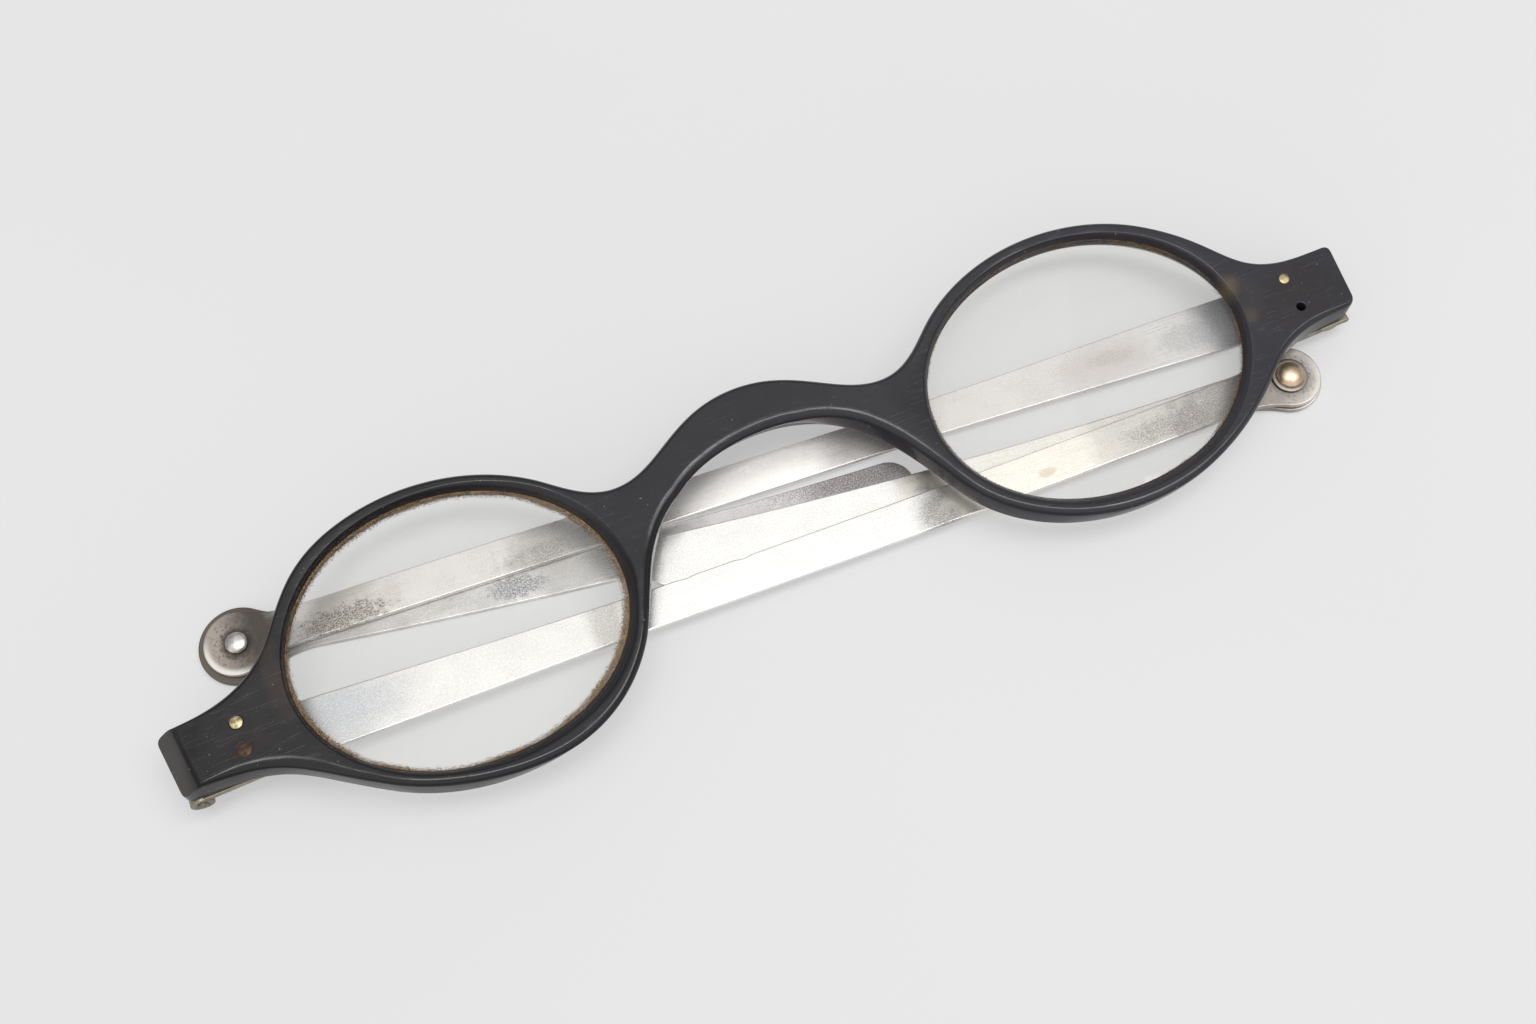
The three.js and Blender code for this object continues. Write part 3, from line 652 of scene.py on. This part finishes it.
# clear old glass: weak mirror by Fresnel over see-through, a little haze, brown dirt along the rim
def lensFinish(name, darkRing):
    material, n = newMaterial(name)
    lay = n.attribute("lay", "Vector")
    rho = n.attribute("rho", "Fac")
    crumbs = n.noise(lay, 9.0, 3, 0.7)
    tint = n.noise(lay, 13.0, 2, 0.5)
    patch = n.noise(lay, 0.16, 2, 0.5)
    smear = n.noise(n.stretched(lay, (0.3, 1.2, 1), 35), 0.5, 4, 0.6)
    edge = n.times(n.range(rho, darkRing["start"], darkRing["full"]),
                   n.range(patch, 0.35, 0.6, darkRing["least"], darkRing["most"]))
    band = n.range(n.times(edge, 0.34, crumbs), 0.64, 0.76)
    band = n.times(band, n.range(edge, 0.02, 0.2))
    inside = n.add("NewGeometry").outputs["Backfacing"]
    shine = n.filled("Fresnel", IOR=n.range(inside, 0.0, 1.0, 1.5, 1 / 1.5))    # as weak from inside
    brown = n.blend(n.range(tint, 0.4, 0.62), (0.05, 0.034, 0.022), (0.34, 0.245, 0.15))
    layers = n.filled("BsdfTransparent", Color=(0.995, 0.995, 0.99)).outputs[0]
    for share, shader in (
            (n.range(smear, 0.3, 0.8, 0.002, 0.02), n.filled("BsdfDiffuse", Color=(0.7, 0.69, 0.66))),
            (shine.outputs[0], n.filled("BsdfGlossy", Roughness=0.03)),
            (band, n.filled("BsdfDiffuse", Color=brown))):
        mix = n.filled("MixShader", Fac=share)
        n.feed(mix.inputs[1], layers)
        n.feed(mix.inputs[2], shader.outputs[0])
        layers = mix.outputs[0]
    n.finish(layers)
    return material


# lens half profile: height falls with the square of the radius from the bulge to the bevelled edge
reach = horn["opening"][0] + lens["lip"]
share = np.r_[np.linspace(0, 0.9, 16), np.linspace(0.912, 1 - lens["bevel"] / reach, 10)]
upper = np.c_[share * reach, lens["edge"] / 2 + lens["bulge"] * (1 - share ** 2)]
upper = np.vstack([upper, [reach - 0.06, lens["edge"] / 2 - 0.08], [reach, lens["edge"] / 2 - lens["bevel"]]])
lensProfile = np.vstack([upper * (1, -1), upper[::-1]])
lensDirt = {"left": {"start": 0.915, "full": 0.965, "least": 0.6, "most": 1.0},
            "right": {"start": 0.95, "full": 0.975, "least": 0.15, "most": 0.8}}
for word, side in sides.items():
    points, faces = turnedShell(lensProfile, 240)
    rho = np.hypot(points[:, 0], points[:, 1]) / reach
    points = points * (1, (horn["opening"][1] + lens["lip"]) / reach, 1)
    local = (shift(side["sign"] * horn["lensX"], horn["lensY"], lens["middle"])
             @ spin(zAxis, math.degrees(side["sign"] * horn["tilt"])))
    makePiece(word + "_lens_ground", (points, faces), frontPlace @ local, "front", word + "_lens",
              lensFinish(word + "_lens_glass", lensDirt[word]), {"rho": rho})
print("lenses made")


# where a neck's hollow curve leaves the strip and at what angle it meets the disc
def neckOf(disc):
    away = strip["slim"] + strip["neck"]
    run = math.sqrt((disc + strip["neck"]) ** 2 - away ** 2)
    return away, run, math.atan2(away, run)


# arc: centre plus radius times (cos, sin) from the start angle to the end angle
def arcOf(x, y, radius, start, end, count=40):
    angle = np.linspace(start, end, count)
    return np.c_[x + radius * np.cos(angle), y + radius * np.sin(angle)]


# one edge of a strip: half width either side of a line bowed by 4 bow s (1 - s), with small nicks
def edgeOf(low, high, way, bow, halfWidth, nicks=()):
    x = np.linspace(low, high, 200)
    s = (x - low) / (high - low)
    y = 4 * bow * s * (1 - s) + way * halfWidth(x)
    for at, deep, wide in nicks:
        y -= way * deep * np.exp(-((x - at) / wide) ** 2)
    return np.c_[x, y]


# front section: knuckle tongue, edges narrowing by a smooth step over the taper, hollow necks, end disc
def frontOutline(bow, nicks):
    away, run, turn = neckOf(strip["frontDisc"])
    neck, k = strip["frontLength"] - run, strip["knuckleHalf"]
    ease = lambda x: np.clip(x / strip["taper"], 0, 1) ** 2 * (3 - 2 * np.clip(x / strip["taper"], 0, 1))
    halfWidth = lambda x: strip["root"] - (strip["root"] - strip["slim"]) * ease(x)
    low = strip["shoulder"]
    return np.vstack([
        [[strip["start"], k], [low, k]], edgeOf(low, neck, 1, bow, halfWidth, nicks),
        arcOf(neck, away, strip["neck"], -math.pi / 2, -turn),
        arcOf(strip["frontLength"], 0, strip["frontDisc"], math.pi - turn, turn - math.pi, 80),
        arcOf(neck, -away, strip["neck"], turn, math.pi / 2),
        edgeOf(low, neck, -1, bow, halfWidth)[::-1], [[low, -k], [strip["start"], -k]]])


# rear section: pivot disc, hollow necks, edges widening with the square of the run, half-round tip
def rearOutline(bow, disc):
    away, run, turn = neckOf(disc)
    tip = strip["rearLength"] - strip["tip"]
    halfWidth = lambda x: strip["slim"] + (strip["tip"] - strip["slim"]) * ((x - run) / (tip - run)) ** 2
    return np.vstack([
        arcOf(0, 0, disc, -turn, turn - 2 * math.pi, 80),
        arcOf(run, away, strip["neck"], math.pi + turn, math.pi * 1.5),
        edgeOf(run, tip, 1, bow, halfWidth),
        arcOf(tip, 0, strip["tip"], math.pi / 2, -math.pi / 2, 60),
        edgeOf(run, tip, -1, bow, halfWidth)[::-1],
        arcOf(run, -away, strip["neck"], math.pi / 2, math.pi - turn)])


hinge = {"radius": 1.1, "high": 3.35, "low": 3.9, "clear": 1.15, "pin": 0.45, "bore": 0.55, "plateY": -1.5,
         "plateLow": 0.4, "plateTop": 1.05, "inner": 49.8, "outer": 58.3, "half": 3.3, "round": 2.4,
         "step": 0.2, "edge": (0.1, 0.1, 4, 0.03), "ease": 0.12}
leftSilver = {"mottle": 0.3, "specks": 0.3, "grain": 0.6, "rough": 0.2, "wavy": 0.18, "metal": 0.8}
# stains and painted reflections of the horn's rims, by their place along and across each section, in
# millimetres from its hinge or pin
stripLooks = {
    "left_temple_front": {
        **leftSilver, "bright": (0.91, 0.9, 0.875), "cloud": (0.7, 0.685, 0.66),
        "stainsAndReflections": [
            stainOrLightPatch(11, 0.4, 7.5, 5, (0.44, 0.445, 0.465), 0.85, core=0, ragged=0.9),
            stainOrLightPatch(14, 0.2, 4, 1.6, (0.36, 0.38, 0.43), 0.5, core=0, crumbs=True),
            # painted reflection: grey band where the left lens's right rim is mirrored in the strip
            stainOrLightPatch(38.6, -0.4, 1.4, 4, (0.32, 0.29, 0.27), 0.75, ragged=0.8, core=0),
            # painted reflection: dark patch where the right lens's left rim is mirrored in the strip
            stainOrLightPatch(71.9, -0.9, 2.3, 2.3, (0.1, 0.088, 0.075), 0.8, core=0, ragged=1.2),
            stainOrLightPatch(81, 0, 6, 4, (0.95, 0.89, 0.76), 0.6, ragged=1.2),
            stainOrLightPatch(82.5, -1, 0.7, 0.35, (0.42, 0.27, 0.15), 0.55, ragged=2),
            stainOrLightPatch(93, -0.8, 4.6, 4, (0.46, 0.43, 0.4), 0.65, ragged=1.8),
            stainOrLightPatch(95, -0.6, 3.4, 1, (0.13, 0.11, 0.1), 0.6, crumbs=True, core=0.1),
            stainOrLightPatch(102, -0.8, 5, 3.6, (0.2, 0.175, 0.165), 0.85, core=0.2),
        ],
        "disc": {"pin": 1.75, "shade": (-3.0, 1.5), "dark": (0.27, 0.24, 0.21), "light": (0.46, 0.42, 0.38),
                 "amount": 0.85, "pepper": 0.5, "darkRing": 0.4, "gleam": (1, -0.6), "rimHighlight": 0.7},
    },
    "right_temple_front": {
        "bright": (0.78, 0.76, 0.735), "mottle": 0.5, "cloud": (0.66, 0.63, 0.61), "specks": 0.35,
        "grain": 0.62, "rough": 0.22, "wavy": 0.25, "metal": 0.5,
        "stainsAndReflections": [
            stainOrLightPatch(99.5, 0, 5, 3, (0.5, 0.45, 0.4), 0.55, core=0.1),
            stainOrLightPatch(98.6, 0.9, 3, 0.9, (0.1, 0.068, 0.042), 0.95, crumbs=True, ragged=5, core=0.3),
            # painted reflection: darker patch where the left lens's right rim is mirrored in the strip
            stainOrLightPatch(77.5, -0.3, 4.2, 3.2, (0.25, 0.235, 0.225), 0.65, core=0),
            stainOrLightPatch(79.6, 0.9, 2.6, 0.8, (0.16, 0.13, 0.11), 0.6, crumbs=True, core=0.2),
            stainOrLightPatch(59, -0.2, 6, 3, (0.97, 0.945, 0.91), 0.75, ragged=1.2),
            # painted reflection: darker patch where the nose arch's wall is mirrored in the strip
            stainOrLightPatch(46.5, 0.6, 3.6, 2.6, (0.22, 0.205, 0.2), 0.6, core=0),
            stainOrLightPatch(22, 0.1, 4.2, 1.8, (0.42, 0.34, 0.28), 0.7, core=0, ragged=1.6),
            stainOrLightPatch(21.4, -0.2, 2, 0.7, (0.25, 0.16, 0.1), 0.7, core=0, crumbs=True),
            stainOrLightPatch(18, 0, 6, 4, (0.62, 0.62, 0.64), 0.5),
            stainOrLightPatch(13.2, 0.2, 2.4, 1.1, (0.28, 0.27, 0.27), 0.5, crumbs=True),
            stainOrLightPatch(8.6, 0, 3.4, 4, (0.3, 0.3, 0.34), 0.75, ragged=1.6, core=0.1),
        ],
        "disc": {"pin": 1.05, "shade": (-1.8, 2.2), "dark": (0.05, 0.039, 0.032),
                 "light": (0.34, 0.295, 0.255), "amount": 0.97, "pepper": 0.85, "darkRing": 0.9,
                 "gleam": (1, 1), "rimHighlight": 0.85},
    },
    "left_temple_rear": {
        **leftSilver, "bright": (0.93, 0.915, 0.885), "cloud": (0.7, 0.68, 0.65),
        "stainsAndReflections": [
            # painted reflection: dark patch where the right lens's left rim is mirrored in the strip
            stainOrLightPatch(36.3, -0.4, 2.6, 2.6, (0.11, 0.082, 0.06), 0.8, core=0, ragged=1.2),
            stainOrLightPatch(28, 0, 8, 4, (0.76, 0.72, 0.64), 0.6),
            stainOrLightPatch(13, 0, 6, 3.4, (0.45, 0.415, 0.39), 0.7),
            stainOrLightPatch(12, 0.6, 4, 0.9, (0.14, 0.12, 0.11), 0.6, crumbs=True, core=0.1),
            stainOrLightPatch(5.5, 0.4, 3.8, 3.6, (0.22, 0.19, 0.18), 0.8, core=0.2),
        ],
        "disc": {"pin": 1.1, "shade": (2.0, -3.0), "dark": (0.2, 0.17, 0.15), "light": (0.45, 0.41, 0.37),
                 "amount": 0.85, "pepper": 0.3, "darkRing": 0.5, "gleam": (-1, 0.6), "rimHighlight": 0.5},
    },
    "right_temple_rear": {
        "bright": (0.76, 0.75, 0.735), "mottle": 0.6, "cloud": (0.5, 0.485, 0.47), "specks": 0.5,
        "grain": 0.5, "rough": 0.23, "wavy": 0.22, "metal": 0.55,
        "stainsAndReflections": [
            stainOrLightPatch(6, -2.4, 5, 1.6, (0.3, 0.285, 0.265), 0.6, core=0.1),
            stainOrLightPatch(14.5, -1.2, 4.5, 1.1, (0.3, 0.27, 0.25), 0.55, crumbs=True, core=0.2),
            stainOrLightPatch(26.2, -0.9, 1.9, 0.8, (0.09, 0.095, 0.125), 0.9, crumbs=True, ragged=3.4),
            stainOrLightPatch(22.5, -0.7, 3, 0.8, (0.3, 0.29, 0.3), 0.5, crumbs=True, core=0.2),
            # painted reflection: grey patch where the left lens's right rim is mirrored in the strip
            stainOrLightPatch(31.5, 0, 3.5, 3, (0.3, 0.28, 0.27), 0.55, core=0),
            stainOrLightPatch(50, 2, 9, 2.4, (0.44, 0.4, 0.405), 0.55, core=0.1),
            stainOrLightPatch(60.5, 1.5, 5, 2.2, (0.12, 0.105, 0.112), 0.8, core=0, ragged=1.4),
            stainOrLightPatch(57.5, 1.4, 6, 0.9, (0.13, 0.1, 0.105), 0.6, crumbs=True, core=0.1),
        ],
        "disc": {"pin": 1.1, "shade": (2.0, -3.0), "dark": (0.09, 0.07, 0.06), "light": (0.12, 0.1, 0.085),
                 "amount": 1.0, "pepper": 0.4, "darkRing": 0.5, "gleam": (-1, -1), "rimHighlight": 0.0},
    },
}
nicks = {"left_temple_front": [(52.6, 0.16, 0.5), (46.9, 0.12, 0.45)]}
for word, side in sides.items():
    name = word + "_temple_front"
    top = strip["top"]
    body = plateShell(
        [evenLoop(frontOutline(side["frontBow"], nicks.get(name, [])), strip["step"], 1),
         circleLoop(strip["frontLength"], 0, strip["eye"], 40)],
        [softEdge(top - strip["thick"], top, *strip["edge"])] * 2)
    knuckle = strip["knuckleHalf"]
    points, faces = tubeShell(hinge["bore"], hinge["radius"], -knuckle, knuckle, hinge["ease"])
    finish = silverFinish(name + "_silver", stripLooks[name], strip["frontLength"], strip["frontDisc"])
    makePiece(name + "_strip", joined(body, (moved(alongY, points), faces)), side["templePlace"],
              word + "_temple", name, finish)
    name = word + "_temple_rear"
    body = plateShell(
        [evenLoop(rearOutline(side["rearBow"], side["rearDisc"]), strip["step"], 1),
         circleLoop(0, 0, strip["eye"], 40)],
        [softEdge(-strip["thick"], 0, *strip["edge"])] * 2)
    finish = silverFinish(name + "_silver", stripLooks[name], 0.0, side["rearDisc"])
    makePiece(name + "_strip", body, side["rearPlace"], word + "_rear", name, finish)
print("temples made")

for word, side in sides.items():
    h, sign = hinge, side["sign"]
    x, y = side["hinge"][0] * sign, side["hinge"][1] - h["plateY"]
    corner = h["inner"] + h["round"]
    plan = np.vstack([
        [[h["outer"], -h["half"]], [h["outer"], y - h["clear"]], [x - h["radius"] - 0.15, y - h["clear"]],
         [x - h["radius"] - 0.15, y + h["clear"]], [h["outer"], y + h["clear"]], [h["outer"], h["half"]]],
        arcOf(corner, h["half"] - h["round"], h["round"], math.pi / 2, math.pi),
        arcOf(corner, h["round"] - h["half"], h["round"], math.pi, math.pi * 1.5)])
    plan = plan * (sign, 1) + (0, h["plateY"])
    holes = [hole for hole in [*rivets.values(), emptyHole] if hole["at"][0] * sign > 0]
    sheet = plateShell(
        [evenLoop(plan, h["step"], 1)]
        + [circleLoop(*hole["at"], hole["radius"] + horn["holeRoom"], 32) for hole in holes],
        [softEdge(h["plateLow"], h["plateTop"], *h["edge"])] * (1 + len(holes)))
    shells = [sheet]
    for way in (-1, 1):
        span = h["low"] if way == sign else h["high"]
        low, high = sorted((way * h["clear"], way * span))
        points, faces = tubeShell(h["bore"], h["radius"], low, high, h["ease"])
        local = shift(*side["hinge"], 0) @ spin(zAxis, side["heading"]) @ alongY
        shells.append((moved(local, points), faces))
    makePiece(word + "_hinge_plate_sheet", joined(*shells), frontPlace, "front", word + "_hinge_plate",
              silverFinish(word + "_hinge_silver", hingeSilver))
    tail, top = (-h["low"] - 0.1, h["high"] + 0.1) if sign < 0 else (-h["high"] - 0.1, h["low"] + 0.1)
    pin = turnedShell([[0, tail - 0.12], [h["pin"] * 0.5, tail - 0.11], [h["pin"] * 0.85, tail - 0.06],
                       [h["pin"], tail + 0.02], [h["pin"], top - 0.02], [h["pin"] * 0.85, top + 0.06],
                       [h["pin"] * 0.5, top + 0.11], [0, top + 0.12]], 40)
    makePiece(word + "_hinge_pin_turned", (moved(alongY, pin[0]), pin[1]), side["hingePlace"], "front",
              word + "_hinge_pin", silverFinish(word + "_hinge_pin_silver", hingeSilver))
print("hinges made")


# filed metal: one tone clouded towards another, with a fine grain in its roughness and bumps
def filedFinish(name, look):
    material, n = newMaterial(name)
    lay = n.attribute("lay", "Vector")
    cloud = n.noise(lay, 2.4, 4, 0.6)
    grain = n.noise(lay, 9.0, 3, 0.6)
    colour = n.blend(n.range(cloud, 0.35, 0.65), look["bright"], look["dark"])
    level = n.times(grain, 0.15, look["rough"])
    n.surface(Base_Color=colour, Metallic=1.0, Roughness=level, Normal=n.bump(grain, 0.000008))
    return material


rivetLooks = {
    "left_rivet_upper": {"bright": (0.66, 0.58, 0.38), "dark": (0.2, 0.16, 0.08), "rough": 0.34,
                         "slot": "rivet_brass", "flush": False},
    "left_rivet_lower": {"bright": (0.12, 0.075, 0.055), "dark": (0.05, 0.034, 0.028), "rough": 0.5,
                         "slot": "rivet_copper", "flush": True},
    "right_rivet_upper": {"bright": (0.6, 0.51, 0.33), "dark": (0.36, 0.28, 0.16), "rough": 0.4,
                          "slot": "rivet_brass", "flush": False},
}
for name, rivet in rivets.items():
    r, face, tail, look = rivet["radius"], horn["face"], hinge["plateLow"] - 0.15, rivetLooks[name]
    dome = np.linspace(0, np.pi / 2, 7)[1:-1]
    profile = np.vstack([[[0, tail], [r * 0.8, tail + 0.01], [r, tail + 0.08], [r, face - 0.02]],
                         np.c_[r * np.cos(dome) ** 0.6, face + 0.1 * np.sin(dome)], [[0, face + 0.1]]])
    if look["flush"]:
        profile = np.vstack([profile[:4], [[r + 0.07, face - 0.005], [r + 0.06, face + 0.012]],
                             [[r * 0.6, face + 0.03], [0, face + 0.035]]])
    makePiece(name + "_turned", turnedShell(profile, 48), frontPlace @ shift(*rivet["at"], 0), "front", name,
              filedFinish(name + "_metal", look))

pins = {
    "left": {"radius": 1.35, "height": 0.75, "base": 0.3, "slot": "pin_brass",
             "bright": (0.68, 0.54, 0.4), "dark": (0.56, 0.42, 0.29), "rough": 0.33},
    "right": {"radius": 1.05, "height": 0.45, "base": 0.1, "slot": "silver",
              "bright": (0.66, 0.64, 0.6), "dark": (0.48, 0.45, 0.41), "rough": 0.28},
}
shank = {"radius": 0.6, "tail": 0.9, "bottom": -1.25}
for word, pin in pins.items():
    turn = np.linspace(0, np.pi / 2, 14)[1:-1]
    low = shank["bottom"]
    dome = np.c_[pin["radius"] * np.cos(turn), pin["base"] + 0.06 + (pin["height"] - 0.06) * np.sin(turn)]
    profile = np.vstack([[[0, low], [shank["tail"] - 0.05, low], [shank["tail"], low + 0.04],
                          [shank["radius"], low + 0.3], [shank["radius"], pin["base"] - 0.02],
                          [shank["radius"] + 0.05, pin["base"]], [pin["radius"] - 0.05, pin["base"]],
                          [pin["radius"], pin["base"] + 0.05]], dome, [[0, pin["base"] + pin["height"]]]])
    makePiece(word + "_turn_pin_domed", turnedShell(profile, 72), sides[word]["pinPlace"], word + "_temple",
              word + "_turn_pin", filedFinish(word + "_pin_metal", pin))
washer = {"inner": 0.7, "outer": 1.75, "low": 0.1, "high": 0.3, "ease": 0.07, "count": 72}
makePiece("left_pin_washer_ring", tubeShell(**washer), sides["left"]["pinPlace"], "left_temple",
          "left_pin_washer", silverFinish("left_washer_silver", washerSilver))
print("pins, rivets and washer made")

camera = {"at": (-25.667, -60.949, 167.5), "forward": (0.13807, 0.34307, -0.9291),
          "right": (0.91218, -0.40939, -0.01567), "up": (0.38574, 0.84535, 0.36953), "lens": 44.53}
basis = np.eye(4)
basis[:3, 0], basis[:3, 1], basis[:3, 2] = camera["right"], camera["up"], -np.array(camera["forward"])
basis[:3, 3] = np.array(camera["at"]) * mm
cameraData = bpy.data.cameras.new("photo_camera")
cameraData.lens = camera["lens"]
cameraData.sensor_width = 36
cameraData.clip_start = 0.01
bpy.context.scene.camera = linked("photo_camera", cameraData)
bpy.context.scene.camera.matrix_world = Matrix(basis)


# pale paper on a light table: faint clouding and grain over an even glow
def paperFinish():
    material, n = newMaterial("pale_paper")
    place = n.millimetres()
    cloud = n.noise(place, 0.01, 3, 0.5)
    grain = n.noise(place, 2.5, 3, 0.6)
    colour = n.blend(n.range(cloud, 0.3, 0.7), (0.315, 0.315, 0.315), (0.33, 0.33, 0.334))
    n.surface(Base_Color=colour, Roughness=0.85, Normal=n.bump(grain, 0.000002),
              Emission_Color=(1, 1, 1), Emission_Strength=0.375)
    return material


half = 2.0
corners = [(-half, -half, 0), (half, -half, 0), (half, half, 0), (-half, half, 0)]
floorMesh = bpy.data.meshes.new("paper_floor")
floorMesh.from_pydata(corners, [], [(0, 1, 2, 3)])
floorMesh.materials.append(paperFinish())
floor = linked("paper_floor", floorMesh)

world = bpy.data.worlds.new("soft_room")
world.use_nodes = True
bpy.context.scene.world = world
sky = {"lean": (0.14, 0.34, 0.93), "front": (-0.3, -0.7, 0.65), "high": 0.62, "middle": 0.3, "low": 0.6,
       "near": 0.7}


# soft room: bright round the leaning zenith and again behind the camera by the cosine to each, and towards
# the horizon by the height of the direction, darker in between
def roomLight(n):
    direction = n.add("TexCoord").outputs["Generated"]
    cosines = []
    for name in ("lean", "front"):
        cosine = n.add("VectorMath")
        cosine.operation = "DOT_PRODUCT"
        n.feed(cosine.inputs[0], direction)
        n.feed(cosine.inputs[1], sky[name])
        cosines.append(cosine.outputs["Value"])
    top = n.range(cosines[0], 0.72, 0.92, sky["middle"], sky["high"])
    top = n.math("ADD", top, n.range(cosines[1], 0.3, 0.75, 0, sky["near"]))
    foot = n.range(n.split(direction)[2], 0.45, 0.05, 0, sky["low"] - sky["middle"])
    room = n.tree.nodes["Background"]
    n.feed(room.inputs[0], (1, 1, 1))
    n.feed(room.inputs[1], n.math("ADD", top, foot))


roomLight(Nodes(world.node_tree))

# lights at metres along the camera's right, away from it and up, counted from below the camera
lights = {
    "overhead_panel": {"at": (-0.07, 0.45, 1.0), "size": (0.56, 0.7), "watts": 0.46, "turn": -24.2},
    "ceiling_strip": {"at": (0.056, 0.06, 1.0), "size": (0.7, 0.3), "watts": 3.9, "turn": 0.0},
    "side_panel": {"at": (0.55, 0.1, 0.95), "size": (0.5, 0.5), "watts": 2.2, "turn": -24.2},
}
rightward = Vector((camera["right"][0], camera["right"][1], 0)).normalized()
away = Vector((-rightward.y, rightward.x, 0))
below = Vector((camera["at"][0] * mm, camera["at"][1] * mm, 0))
for name, light in lights.items():
    data = bpy.data.lights.new(name, "AREA")
    data.shape = "RECTANGLE"
    data.size, data.size_y = light["size"]
    data.energy = light["watts"]
    lamp = linked(name, data)
    toRight, onward, up = light["at"]
    lamp.location = below + rightward * toRight + away * onward + Vector((0, 0, up))
    lamp.rotation_euler = (0, 0, math.radians(light["turn"]))
bpy.context.scene.view_settings.view_transform = "Standard"
print("floor, lights and camera set")
